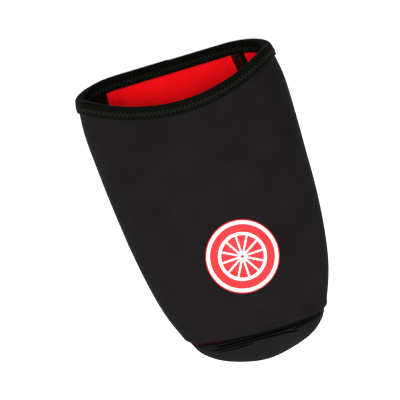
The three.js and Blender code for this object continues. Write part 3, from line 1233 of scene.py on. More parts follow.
@dataclass
class SolePanel:
    """Coated sole panel with a raw cut opening for the cleat."""

    last: LastShape
    wardrobe: Wardrobe
    opening_length: float = 66.5
    opening_width: float = 31.6
    opening_start: float = 51.0
    edge_round: float = 0.3
    fill_step: float = 2.6
    fill_margin: float = 0.6
    rear_steps: int = 38
    rim_row: float = 0.6
    opening_rows: tuple[tuple[float, float], ...] = (
        (0.0, 0.0),
        (0.06, 0.55),
        (0.19, 0.9),
        (0.35, 1.0),
        (0.55, 0.95),
        (0.72, 0.88),
        (0.86, 0.74),
        (0.95, 0.48),
        (1.0, 0.0),
    )

    def outline(self, inset: float, count: int = 260) -> Array:
        """Return the sole's edge in plan, anticlockwise seen from above.

        Args:
            inset: Distance inwards in millimetres.
            count: Number of steps from the right rear corner to the left.

        Returns:
            Points in plan.
        """
        stations = np.linspace(-1, 1, count + 1)
        edge = self.last.sole_edge(stations, inset)[:, :2]
        corners = [0, -1]
        edge[corners, 0] = edge[corners, 0] + inset - self.last.clearance
        across = np.linspace(0, 1, self.rear_steps + 2)[1:-1, None]
        rear = edge[-1] + (edge[0] - edge[-1]) * across
        return np.vstack([edge, rear])

    def opening(self, outset: float, count: int = 96) -> Array:
        """Return the opening's edge in plan, anticlockwise.

        Args:
            outset: Distance outwards from the opening in millimetres.
            count: Number of steps round it.

        Returns:
            Points in plan.
        """
        half = np.array(self.opening_rows)
        right = np.stack([half[:, 0] * self.opening_length, -half[:, 1] * self.opening_width / 2], axis=1)
        left = right[1:-1][::-1] * np.array([1, -1])
        knots = np.vstack([right, left])
        knots[:, 0] += self.opening_start - self.last.length / 2
        return grown(closed_curve(knots, count), outset)

    def plan_faces(self) -> tuple[Array, Array, int, int]:
        """Triangulate the sole between its edge and the opening.

        Returns:
            Points in plan, triangles, and how many points the edge and the opening have. The edge comes
            first, then the opening.
        """
        edge = self.outline(self.last.clearance + self.edge_round)
        hole = self.opening(self.edge_round)
        axes = [np.arange(low, high, self.fill_step) for low, high in zip(edge.min(0), edge.max(0))]
        grid = np.stack(np.meshgrid(*axes), axis=-1).reshape(-1, 2)
        far = self.fill_margin * self.fill_step
        keep = inside(grid, edge) & ~inside(grid, hole)
        keep &= nearest_distance(grid, edge) > far
        keep &= nearest_distance(grid, hole) > far
        places = np.vstack([edge, hole, grid[keep]])
        rings = [list(range(len(edge))), list(range(len(edge), len(edge) + len(hole)))]
        pairs = [(ring[i], ring[(i + 1) % len(ring)]) for ring in rings for i in range(len(ring))]
        result = delaunay_2d_cdt([Vector(place) for place in places.tolist()], pairs, [], 0, 1e-6)
        points = np.array([tuple(point) for point in result[0]])
        faces = np.array(result[2])
        middles = points[faces].mean(axis=1)
        kept = faces[inside(middles, edge) & ~inside(middles, hole)]
        first, second, third = (points[kept[:, corner]] for corner in range(3))
        area = np.cross(second - first, third - first)
        kept[area < 0] = kept[area < 0][:, ::-1]
        return points, kept, len(edge), len(hole)

    def build(self) -> Object:
        """Build the panel and let it stand for the solid sole.

        Returns:
            The finished piece.
        """
        points, faces, edge_count, hole_count = self.plan_faces()
        surface = Surface()
        depth = self.last.sole_thickness
        sides = [surface.add_points(self.on_sole(points, rise)) for rise in (0.0, depth)]
        for side, flip, finish in ((sides[0], True, 0), (sides[1], False, 1)):
            ordered = faces[:, ::-1] if flip else faces
            surface.add_faces(side[ordered], points[ordered] * MM, finish)
        rims = (
            (slice(0, edge_count), self.outline(self.last.clearance), False),
            (slice(edge_count, edge_count + hole_count), self.opening(0), True),
        )
        for part, rim, flip in rims:
            rows = [sides[0][part]]
            for rise in (self.edge_round, depth / 2, depth - self.edge_round):
                rows.append(surface.add_points(self.on_sole(rim, rise)))
            rows.append(sides[1][part])
            numbers = np.array([[*row, row[0]] for row in rows])
            run = np.arange(numbers.shape[1]) * MM
            uv = np.stack(np.meshgrid(np.arange(len(rows)) * self.rim_row * MM, run, indexing="ij"), axis=-1)
            for index, finish in enumerate((0, 2, 2, 1)):
                surface.add_grid(numbers[index : index + 2], uv[index : index + 2], finish, flip=not flip)
        mesh = surface.to_mesh("sole_panel")
        finishes = [self.wardrobe.film, self.wardrobe.lining, self.wardrobe.foam]
        return dress(add_object("sole_panel", mesh, finishes), Slot.SOLE, "sole")

    def on_sole(self, plan: Array, rise: float) -> Array:
        """Return points on the sole line, raised into the sole by a distance in millimetres.

        Args:
            plan: Points in plan.
            rise: Distance in millimetres.

        Returns:
            Points in space.
        """
        x = plan[:, 0]
        low = np.stack([x, plan[:, 1], self.last.sole_line(x)], axis=1)
        return low - self.last.sole_normal(x) * rise


def closed_curve(knots: Array, count: int) -> Array:
    """Return evenly spaced points of a smooth closed curve through knots.

    Args:
        knots: Points in plan, in order.
        count: Number of points wanted.

    Returns:
        Points in plan.
    """
    previous, following, second = (np.roll(knots, shift, axis=0) for shift in (1, -1, -2))
    fine = []
    steps = 40
    for share in np.linspace(0, 1, steps, endpoint=False):
        bend = 3 * (knots - following) + second - previous
        middle = 2 * previous - 5 * knots + 4 * following - second
        fine.append(knots + 0.5 * share * (following - previous + share * (middle + share * bend)))
    dense = np.stack(fine, axis=1).reshape(-1, 2)
    dense = np.vstack([dense, dense[:1]])
    run = way_along(dense)
    places = np.linspace(0, run[-1], count, endpoint=False)
    return np.stack([np.interp(places, run, dense[:, axis]) for axis in range(2)], axis=1)


def grown(loop: Array, outset: float) -> Array:
    """Return an anticlockwise closed loop moved outwards in plan."""
    tangent = unit(np.roll(loop, -1, axis=0) - np.roll(loop, 1, axis=0))
    return loop + outset * np.stack([tangent[:, 1], -tangent[:, 0]], axis=1)


def inside(places: Array, loop: Array) -> Array:
    """Return which places lie inside a closed loop in plan.

    Args:
        places: Points in plan.
        loop: Points of the loop in plan.

    Returns:
        True for each place inside.
    """
    result = np.zeros(len(places), dtype=bool)
    x, y = places[:, 0], places[:, 1]
    for (x0, y0), (x1, y1) in zip(loop, np.roll(loop, -1, axis=0)):
        if y0 == y1:
            continue
        crossing = (y0 > y) != (y1 > y)
        result ^= crossing & (x < (x1 - x0) * (y - y0) / (y1 - y0) + x0)
    return result


def nearest_distance(places: Array, loop: Array) -> Array:
    """Return each place's distance to the nearest point of a loop."""
    return np.min(np.linalg.norm(places[:, None] - loop[None], axis=-1), axis=1)


@dataclass
class Row:
    """Threads or dots laid along a row by one node tree, from points with directions and scales.

    A thread is a short arch between two needle holes. A dot is a flat cone.
    """

    name: str
    finish: Material
    seed: Seed = Seed.THREAD
    radius: float = 0.16
    height: float = 0.1
    places: list[Array] = field(default_factory=list)
    along: list[Array] = field(default_factory=list)
    out: list[Array] = field(default_factory=list)
    scales: list[Array] = field(default_factory=list)

    def sew(self, starts: Array, ends: Array, out: Array) -> "Row":
        """Add threads between needle holes.

        Args:
            starts: First needle holes in millimetres.
            ends: Second needle holes.
            out: Directions out of the cloth.

        Returns:
            The row.
        """
        spans = np.linalg.norm(ends - starts, axis=1)
        scales = np.stack([spans * MM, np.ones_like(spans), np.ones_like(spans)], axis=1)
        return self.add((starts + ends) / 2, unit(ends - starts), out, scales)

    def add(self, places: Array, along: Array, out: Array, scales: Array) -> "Row":
        """Add points with their two directions and their scales.

        Args:
            places: Points in millimetres.
            along: Directions of the threads.
            out: Directions out of the cloth.
            scales: Scales along the three axes.

        Returns:
            The row.
        """
        stores = (self.places, self.along, self.out, self.scales)
        for values, store in zip((places, along, unit(out), scales), stores):
            store.append(np.broadcast_to(values, places.shape))
        return self

    def tree(self) -> Tree:
        """Return the node tree that lays a thread or a dot at each point.

        Returns:
            The node tree.
        """
        tree = bpy.data.node_groups.new(self.name, "GeometryNodeTree")
        sockets = (
            ("Geometry", "INPUT", "Geometry"),
            ("Radius", "INPUT", "Float"),
            ("Height", "INPUT", "Float"),
            ("Finish", "INPUT", "Material"),
            ("Geometry", "OUTPUT", "Geometry"),
        )
        for label, way, kind in sockets:
            tree.interface.new_socket(label, in_out=way, socket_type=f"NodeSocket{kind}")
        sheet = NodeSheet(tree)
        given = sheet.add("NodeGroupInput").outputs
        shape = self.thread(sheet, given) if self.seed is Seed.THREAD else self.dot(sheet, given)
        reads = []
        for label in ("along", "out", "size"):
            node = sheet.add("GeometryNodeInputNamedAttribute", {"Name": label}, data_type="FLOAT_VECTOR")
            reads.append(node.outputs["Attribute"])
        inputs = {"Primary Axis": reads[0], "Secondary Axis": reads[1]}
        axes = sheet.add("FunctionNodeAxesToRotation", inputs, primary_axis="X", secondary_axis="Z")
        inputs = {"Points": given["Geometry"], "Instance": shape}
        inputs |= {"Rotation": axes.outputs["Rotation"], "Scale": reads[2]}
        last = sheet.add("GeometryNodeInstanceOnPoints", inputs).outputs["Instances"]
        for kind in ("GeometryNodeRealizeInstances", "GeometryNodeSetShadeSmooth", "GeometryNodeSetMaterial"):
            node = sheet.add(kind, {"Geometry": last})
            last = node.outputs["Geometry"]
        sheet.give(node.inputs["Material"], given["Finish"])
        sheet.add("NodeGroupOutput", {"Geometry": last})
        return tree

    @staticmethod
    def thread(sheet: NodeSheet, given: Sockets) -> Socket:
        """Return the geometry of one arched thread of length one.

        Args:
            sheet: Sheet that takes the nodes.
            given: Outputs of the group's input node.

        Returns:
            The socket with the mesh.
        """
        top = sheet.add("ShaderNodeCombineXYZ", {"Z": given["Height"]}).outputs["Vector"]
        ends = {"Start": (-0.5, 0, 0), "End": (0.5, 0, 0), "Middle": top, "Resolution": 5}
        path = sheet.add("GeometryNodeCurveQuadraticBezier", ends).outputs["Curve"]
        inputs = {"Resolution": 6, "Radius": given["Radius"]}
        section = sheet.add("GeometryNodeCurvePrimitiveCircle", inputs).outputs["Curve"]
        inputs = {"Curve": path, "Profile Curve": section, "Fill Caps": True}
        return sheet.add("GeometryNodeCurveToMesh", inputs).outputs["Mesh"]

    @staticmethod
    def dot(sheet: NodeSheet, given: Sockets) -> Socket:
        """Return the geometry of one flat dot of radius one."""
        inputs = {"Vertices": 14, "Radius Top": 0.8, "Radius Bottom": 1.0, "Depth": given["Height"]}
        return sheet.add("GeometryNodeMeshCone", inputs).outputs["Mesh"]

    def build(self, slot: Slot) -> Object:
        """Run the tree over the points and return the result as one plain mesh.

        Args:
            slot: Material slot of the record.

        Returns:
            The finished piece.
        """
        points = bpy.data.meshes.new(self.name + "_points")
        points.from_pydata((np.concatenate(self.places) * MM).tolist(), [], [])
        for label, values in (("along", self.along), ("out", self.out), ("size", self.scales)):
            attribute = points.attributes.new(label, "FLOAT_VECTOR", "POINT")
            attribute.data.foreach_set("vector", np.concatenate(values).astype(np.float32).ravel())
        carrier = bpy.data.objects.new(self.name + "_points", points)
        bpy.context.scene.collection.objects.link(carrier)
        modifier = carrier.modifiers.new("lay", "NODES")
        modifier.node_group = self.tree()
        height = 2 * self.height if self.seed is Seed.THREAD else self.height
        inputs = {"Radius": self.radius * MM, "Height": height * MM, "Finish": self.finish}
        for item in modifier.node_group.interface.items_tree:
            if item.in_out == "INPUT" and item.name in inputs:
                modifier[item.identifier] = inputs[item.name]
        graph = bpy.context.evaluated_depsgraph_get()
        mesh = bpy.data.meshes.new_from_object(carrier.evaluated_get(graph))
        mesh.name = self.name
        bpy.data.objects.remove(carrier)
        return dress(add_object(self.name, mesh, []), slot)


@dataclass
class SoleDots:
    """Dark dots of the coral film, in staggered rows that get finer towards the middle of the sole."""

    sole: "SolePanel"
    pitch: float = 5.16
    edge_margin: float = 2.6
    opening_margin: float = 1.9
    least: float = 0.6
    most: float = 2.15
    finest_at: float = 80.0
    growth: float = 1.05
    growth_power: float = 0.85
    rear_margin: float = 2.5
    columns: int = 36
    lines: int = 20
    sunk: float = 0.02
    height: float = 0.09

    def build(self) -> Object:
        """Lay the dots on the underside.

        Returns:
            The finished piece.
        """
        last = self.sole.last
        ranges = [np.arange(-count, count + 1) for count in (self.columns, self.lines)]
        i, j = np.meshgrid(*ranges, indexing="ij")
        staggered = (i + j) % 2 == 0
        plan = np.stack([i[staggered], j[staggered]], axis=1) * self.pitch / 2
        edge = self.sole.outline(self.edge_margin)
        hole = self.sole.opening(self.opening_margin)
        rear = last.binding_width - last.length / 2 + self.rear_margin
        plan = plan[inside(plan, edge) & ~inside(plan, hole) & (plan[:, 0] > rear)]
        share = np.abs(plan[:, 0] + last.length / 2 - self.finest_at) / (last.length / 2)
        growth = np.clip(share * self.growth, 0, 1) ** self.growth_power
        size = self.least + (self.most - self.least) * growth
        normals = last.sole_normal(plan[:, 0])
        places = self.sole.on_sole(plan, self.sunk)
        scales = np.stack([size / 2 * MM, size / 2 * MM, np.ones_like(size)], axis=1)
        row = Row("sole_dots", self.sole.wardrobe.dots, Seed.DOT, height=self.height)
        return row.add(places, np.array([1.0, 0, 0]), normals, scales).build(Slot.SOLE)


@dataclass
class Overlock:
    """Overlock threads: round the sole panel and across the toe seam."""

    last: LastShape
    wardrobe: Wardrobe
    seed: int = 11
    samples: int = 1500
    sole_pitch: float = 1.25
    sole_end: float = 0.965
    sole_lean: float = 0.45
    sole_bite: tuple[float, float] = (1.35, 0.35)
    upper_bite: tuple[float, float] = (1.2, 0.2)
    toe_pitch: float = 1.1
    toe_stations: tuple[float, float, int] = (-0.45, 0.45, 500)
    toe_turns: int = 700
    toe_margin: float = 0.5
    toe_reach: float = 0.5
    toe_uneven: tuple[float, float] = (-0.2, 0.15)
    toe_slant: float = 0.35
    red_beyond: tuple[float, float] = (-23.5, 29)
    red_above: float = 4
    red_share: float = 0.55
    red_depth: float = 0.72
    black_depth: float = 0.85

    def along_stations(self, low: float, high: float, pitch: float) -> Array:
        """Return stations that lie evenly along the sole's edge.

        Args:
            low: First station.
            high: Last station.
            pitch: Distance from one to the next in millimetres.

        Returns:
            The stations.
        """
        dense = np.linspace(low, high, self.samples)
        edge = self.last.point(dense, 0.0)
        run = way_along(edge)
        return np.interp(np.arange(0, run[-1], pitch), run, dense)

    def foot(self, station: Array, width: Array) -> tuple[Array, Array]:
        """Return points of the upper's foot beside the sole's edge, and the directions out of it.

        Args:
            station: Stations.
            width: Distances outwards from the sole's edge in millimetres.

        Returns:
            Points and unit vectors.
        """
        reach = np.linalg.norm(self.last.point(station, 1.0) - self.last.point(station, 0.0), axis=-1)
        turn = width / reach
        return self.last.point(station, turn), self.last.normal(station, turn)

    def sole_seam(self) -> Object:
        """Sew the ragged black seam round the sole panel.

        Returns:
            The finished threads.
        """
        chance = np.random.default_rng(self.seed)
        row = Row("sole_seam", self.wardrobe.dark_thread, radius=0.2, height=0.12)
        stations = self.along_stations(-self.sole_end, self.sole_end, self.sole_pitch)
        lean = self.sole_lean * np.gradient(stations)
        for side in (1, -1):
            bites = []
            for bite, spread in (self.sole_bite, self.upper_bite):
                bites.append(bite + chance.uniform(-spread, spread, len(stations)))
            starts = self.last.sole_edge(stations - side * lean, bites[0])
            ends, normals = self.foot(stations + side * lean, bites[1])
            row.sew(starts, ends, normals)
        return row.build(Slot.SOLE)

    def toe_track(self) -> tuple[Array, Array]:
        """Return the toe seam's line on the last from right to left, and the directions out of it.

        Returns:
            Points and unit vectors.
        """
        turns = np.linspace(0, 2, self.toe_turns)
        track = []
        for station in np.linspace(*self.toe_stations):
            near = self.last.seam_distance(self.last.point(station, turns))
            cross = np.flatnonzero((near[:-1] > 0) & (near[1:] <= 0))
            if len(cross):
                first = cross[0]
                share = near[first] / (near[first] - near[first + 1])
                track.append((station, turns[first] + share * (turns[first + 1] - turns[first])))
        stations, turns = np.array(track).T
        points = self.last.point(stations, turns)
        run = way_along(points)
        places = np.arange(self.toe_margin, run[-1] - self.toe_margin, self.toe_pitch)
        stations, turns = np.interp(places, run, stations), np.interp(places, run, turns)
        return self.last.point(stations, turns), self.last.normal(stations, turns)

    def toe_seam(self) -> list[Object]:
        """Sew short threads across the toe seam, red near its ends and black between.

        Returns:
            The red and the black threads.
        """
        points, normals = self.toe_track()
        _, direction = self.last.seam_plane()
        across = unit(direction - (normals @ direction)[:, None] * normals)
        along = unit(np.gradient(points, axis=0))
        chance = np.random.default_rng(self.seed)
        pieces = []
        right, left = self.red_beyond
        red = ((points[:, 1] > left) | (points[:, 1] < right)) & (points[:, 2] > self.red_above)
        for name, finish, mask, share, depth in (
            ("toe_seam_red", self.wardrobe.red_thread, red, self.red_share, self.red_depth),
            ("toe_seam_black", self.wardrobe.dark_thread, ~red, 1.0, self.black_depth),
        ):
            count = int(mask.sum())
            kept = chance.uniform(0, 1, count) < share
            reach = (self.toe_reach + chance.uniform(*self.toe_uneven, count))[:, None]
            slant = along[mask] * self.toe_slant
            base = points[mask] - normals[mask] * depth
            starts = base - across[mask] * reach - slant
            ends = base + across[mask] * reach + slant
            row = Row(name, finish, radius=0.11, height=0.1)
            row.sew(starts[kept], ends[kept], normals[mask][kept])
            pieces.append(row.build(Slot.TOE_PANEL))
        return pieces


@dataclass
class FoldedBinding:
    """Tape folded round the mouth's edge and sewn down with a zig-zag."""

    last: LastShape
    wardrobe: Wardrobe
    lip_steps: int = 150
    sole_steps: int = 70
    stitch_line: float = 3.5
    stitch_swing: float = 1.25
    stitch_pitch: float = 2.3
    stitch_sunk: float = 0.12
    stitch_share: tuple[float, float] = (0.1, 0.9)
    stitch_floor_gap: float = 0.06
    pinch: float = 0.32
    pinch_width: float = 0.8
    padding: float = 0.32
    rim_drop: float = 0.25
    rim_width: float = 0.3
    rim_inset: float = 0.15
    leg_depths: tuple[float, ...] = (5.4, 4.7, 4.0, 3.3, 2.6, 1.9, 1.2, 0.6, 0.0)
    fold_steps: int = 14
    fold_power: float = 0.6
    core_gap: float = 0.12
    core_inset: float = 0.4
    core_beyond: float = 0.25
    floor_gap: float = 0.02
    probe: float = 0.005
    turn_step: float = 0.01
    uv_column: int = 12
    uv_row: int = 10

    @property
    def wall(self) -> float:
        """Thickness of the panel that the tape folds round."""
        return max(self.last.upper_wall, self.last.sole_thickness)

    def edge_places(self) -> list[tuple[str, float, float]]:
        """Return the places round the mouth: kind, side and turn, or kind and share along the sole's edge.

        Returns:
            A kind, a side and a turn or share for each place.
        """
        turns = np.linspace(0, 2, self.lip_steps + 1)
        places = [("lip", -1.0, float(turn)) for turn in turns]
        places += [("lip", 1.0, float(turn)) for turn in turns[::-1][1:]]
        shares = np.linspace(0, 1, self.sole_steps + 1)[1:-1]
        return places + [("sole", 0.0, float(share)) for share in shares]

    def frame_at(self, kind: str, side: float, value: float, depths: Array) -> tuple[Array, Array, Array]:
        """Return the edge's surroundings at a place.

        Args:
            kind: Lip or sole.
            side: Side of the lip, -1 or 1.
            value: Turn on the lip, or share along the sole's rear edge.
            depths: Distances into the panel, in millimetres.

        Returns:
            Points and normals at the depths, and the direction into the panel.
        """
        last = self.last
        if kind == "lip":
            edge = last.point(side, value)
            above = last.point(side, min(value + self.turn_step, 2))
            along = unit(above - last.point(side, max(value - self.turn_step, 0)))
            into = last.point(side * (1 - self.probe), value) - edge
            into = into - (into @ along) * along
            per_depth = self.probe / np.linalg.norm(into)
            stations = side * (1 - depths * per_depth)
            turns = np.full_like(depths, value)
            return last.point(stations, turns), last.normal(stations, turns), unit(into)
        corners = last.point(np.array([1.0, -1.0]), np.zeros(2))
        edge = corners[0] + (corners[1] - corners[0]) * value
        x = edge[0] + depths
        points = np.stack([x, np.full_like(x, edge[1]), last.sole_line(x)], axis=1)
        normals = last.sole_normal(x)
        return points, normals, np.cross(normals[0], [0, 1, 0])

    def section(self) -> Array:
        """Return the tape's section: depth into the panel, way out of it, and how far beyond the edge.

        Returns:
            One row for each point of the section.
        """
        wall, reach, width = self.wall, self.last.binding_reach, self.last.binding_width
        depths = np.array([width, width - self.rim_inset, *self.leg_depths])
        puff = self.padding * np.sin(math.pi * np.clip(depths / width, 0, 1))
        puff = puff - self.pinch * bump_curve(depths - self.stitch_line, self.pinch_width)
        puff = puff - self.rim_drop * smooth_step(depths, width - self.rim_width, width)
        outer = [(depth, reach + lift, 0.0) for depth, lift in zip(depths, puff)]
        middle = -wall / 2
        radius = wall / 2 + reach
        fold = []
        for angle in np.linspace(90, -90, self.fold_steps + 1)[1:-1]:
            turn = math.radians(angle)
            beyond = reach * math.cos(turn) ** self.fold_power
            fold.append((0.0, middle + radius * math.sin(turn), beyond))
        inner = [(depth, -wall - reach - lift, 0.0) for depth, lift in zip(depths[::-1], puff[::-1])]
        inset = self.core_inset
        under = [(depth, -wall - self.core_gap, 0.0) for depth in (width, width / 2, inset)]
        under += [(0.0, -wall + inset, self.core_beyond), (0.0, -inset, self.core_beyond)]
        under += [(depth, self.core_gap, 0.0) for depth in (inset, width / 2, width)]
        return np.array(outer + fold + inner + under)

    def rows(self) -> Array:
        """Return the swept section as rows of points round the mouth.

        Returns:
            Points in millimetres, places by points of the section.
        """
        depths, out, beyond = self.section().T
        rows = []
        for place in self.edge_places():
            points, normals, into = self.frame_at(*place, depths)
            rows.append(points + normals * out[:, None] - into * beyond[:, None])
        rows = np.array(rows)
        rows[..., 2] = np.maximum(rows[..., 2], self.floor_gap)
        return rows

    def build(self) -> Object:
        """Build the tape and let it stand for the solid binding.

        Returns:
            The finished piece.
        """
        rows = self.rows()
        surface = Surface()
        numbers = np.pad(surface.add_points(rows), ((0, 1), (0, 1)), mode="wrap")
        closed = np.pad(rows, ((0, 1), (0, 1), (0, 0)), mode="wrap")
        run, width = way_along(closed[:, self.uv_column]), way_along(closed[self.uv_row])
        uv = np.stack(np.meshgrid(run * MM, width * MM, indexing="ij"), axis=-1)
        surface.add_grid(numbers, uv, 0)
        mesh = surface.to_mesh("folded_binding")
        piece = add_object("folded_binding", mesh, [self.wardrobe.tape])
        return dress(piece, Slot.BINDING, "collar_binding")

    def zigzag(self, leg: Leg) -> Object:
        """Sew the zig-zag down one leg of the tape.

        Args:
            leg: The outer or the inner leg.

        Returns:
            The threads.
        """
        lift = self.last.binding_reach + self.padding - self.stitch_sunk
        out = lift if leg is Leg.OUTER else -self.wall - lift
        depths = self.stitch_line + np.array([-1, 1]) * self.stitch_swing
        track = []
        ups = []
        for place in self.edge_places():
            points, normals, _ = self.frame_at(*place, depths)
            track.append(points + normals * out)
            ups.append(normals.mean(0) * np.sign(out))
        track = np.array([*track, track[0]])
        track[..., 2] = np.maximum(track[..., 2], self.stitch_floor_gap)
        ups = np.array([*ups, ups[0]])
        run = way_along(track.mean(1))
        count = int(run[-1] / self.stitch_pitch) * 2
        stops = np.linspace(0, run[-1], count + 1)
        holes = np.zeros((count + 1, 3))
        normals = np.zeros((count + 1, 3))
        for axis in range(3):
            rails = [np.interp(stops, run, track[:, rail, axis]) for rail in range(2)]
            holes[:, axis] = np.where(np.arange(count + 1) % 2 == 0, rails[0], rails[1])
            normals[:, axis] = np.interp(stops, run, ups[:, axis])
        row = Row(f"zigzag_{leg.value}", self.wardrobe.tape_thread, radius=0.17, height=0.1)
        starts, ends = (holes[:-1] + share * np.diff(holes, axis=0) for share in self.stitch_share)
        return row.sew(starts, ends, normals[:-1]).build(Slot.BINDING)


@dataclass
class SeamTape:
    """Tape over the joint of upper and sole inside: a strip of lining, then black tape with overlock threads.

    Towards the mouth the black part drifts up the side. Of a pair of widths or drifts, the first is for the
    side towards +Y and the second for the side towards -Y.
    """

    last: LastShape
    wardrobe: Wardrobe
    lining_width: float = 0.4
    black_width: tuple[float, float] = (7.0, 16.0)
    thickness: float = 0.7
    tuck: float = 0.8
    drift: tuple[float, float] = (0.8, 5.6)
    drift_from: float = 0.72
    drift_by: float = 0.96
    sole_columns: tuple[tuple[float, float], ...] = ((1.6, 0.02), (0.8, 0.15))
    lining_shares: tuple[float, ...] = (0.4, 1.0)
    black_shares: tuple[float, ...] = (0.03, 0.22, 0.44, 0.66, 0.82, 1.0)
    profile: tuple[float, ...] = (0.02, 0.02, 0.02, 0.1, 0.95, 1.0, 1.0, 1.0, 0.9, 0.3)
    uv_length: float = 0.36
    uv_width: float = 0.0086
    steps: int = 240
    thread_pitch: float = 0.95
    thread_margin: float = 0.003
    thread_lift: float = 0.06
    thread_reach: float = 0.35
    thread_lean: float = 1.4
    thread_columns: tuple[int, ...] = (4, 5, 6)
    thread_steps: tuple[float, ...] = (0.25, 0.75)
    sparse_share: float = 0.3
    black_share: float = 0.45
    red_share: float = 0.75
    seed: int = 5

    @property
    def end(self) -> float:
        """Station of the tape's ends.

        Returns:
            The station, below 1.
        """
        last = self.last
        reach = last.binding_width - self.tuck
        return 1 - reach / (last.shell_length * last.ribs[1][0] * (len(last.ribs) - 1))

    def under(self, stations: Array) -> tuple[Array, Array]:
        """Return the tape's underside across its width, and the directions into the cover.

        Args:
            stations: Stations along the tape.

        Returns:
            Points and unit vectors, stations by columns. The first four columns are lining.
        """
        last = self.last
        columns = []
        for inset, gap in self.sole_columns:
            edge = last.sole_edge(stations, inset)
            columns.append(edge - last.sole_normal(edge[:, 0]) * (last.sole_thickness + gap))
        reach = np.linalg.norm(last.point(stations, 1.0) - last.point(stations, 0.0), axis=-1)
        drift = smooth_step(np.abs(stations), self.drift_from, self.drift_by)
        start = self.lining_width + np.where(stations > 0, *self.drift) * drift
        lined = [start * share for share in self.lining_shares]
        broad = np.where(stations > 0, *self.black_width)
        black = [start + broad * share for share in self.black_shares]
        for width in (*lined, *black):
            turns = width / reach
            depth = last.upper_wall + last.clearance / 2
            columns.append(last.point(stations, turns) - last.normal(stations, turns) * depth)
        points = np.stack(columns, axis=1)
        inwards = unit(np.cross(np.gradient(points, axis=1), np.gradient(points, axis=0)))
        return points, inwards

    def build(self) -> list[Object]:
        """Build the tape and its threads and let it stand for the solid one.

        Returns:
            The tape and its threads.
        """
        stations = np.linspace(-self.end, self.end, self.steps + 1)
        points, inwards = self.under(stations)
        profile = np.array(self.profile) * self.thickness
        top = points + inwards * profile[None, :, None]
        surface = Surface()
        low = surface.add_points(points)
        high = surface.add_points(top)
        run = np.linspace(0, self.uv_length, points.shape[0])
        width = np.linspace(0, self.uv_width, points.shape[1])
        uv = np.stack(np.meshgrid(run, width, indexing="ij"), axis=-1)
        surface.add_grid(high[:, :4], uv[:, :4], 1, flip=True)
        surface.add_grid(high[:, 3:], uv[:, 3:], 0, flip=True)
        surface.add_grid(low[:, :4], uv[:, :4], 1)
        surface.add_grid(low[:, 3:], uv[:, 3:], 0)
        rim = (
            (np.s_[:, 0], True, 1),
            (np.s_[:, -1], False, 0),
            (np.s_[0, :], False, 0),
            (np.s_[-1, :], True, 0),
        )
        for across, flip, finish in rim:
            surface.add_strip(high[across], low[across], uv[across], finish, flip)
        finishes = [self.wardrobe.tape, self.wardrobe.lining]
        tape = add_object("seam_tape", surface.to_mesh("seam_tape"), finishes)
        dress(tape, Slot.SEAM_TAPE, "inner_seam_tape")
        return [tape, *self.threads()]

    def threads(self) -> list[Object]:
        """Scatter short stitches over the inner part of the tape, black ones with dark red between them.

        Returns:
            The black and the red threads.
        """
        chance = np.random.default_rng(self.seed)
        overlock = Overlock(self.last, self.wardrobe)
        end = self.end - self.thread_margin
        stations = overlock.along_stations(-end, end, self.thread_pitch)
        points, inwards = self.under(stations)
        top = points + inwards * (self.thickness + self.thread_lift)
        across = unit(np.gradient(top, axis=1))
        along = unit(np.gradient(top, axis=0))
        pieces = []
        tracks = [(column, step) for column in self.thread_columns for step in self.thread_steps]
        density = np.where(stations > -self.drift_from, 1.0, self.sparse_share)
        for name, finish, share in (
            ("seam_tape_black", self.wardrobe.dark_thread, self.black_share),
            ("seam_tape_red", self.wardrobe.red_thread, self.red_share),
        ):
            row = Row(name, finish, radius=0.16, height=0.1)
            for column, step in tracks:
                keep = chance.uniform(0, 1, len(stations)) < share * density
                lean = chance.uniform(-self.thread_lean, self.thread_lean, (len(stations), 1))
                middle = top[:, column] * (1 - step) + top[:, column + 1] * step
                turned = along[:, column] * np.cos(lean) + across[:, column] * np.sin(lean)
                reach = self.thread_reach * turned
                row.sew((middle - reach)[keep], (middle + reach)[keep], inwards[:, column][keep])
            pieces.append(row.build(Slot.SEAM_TAPE))
        return pieces


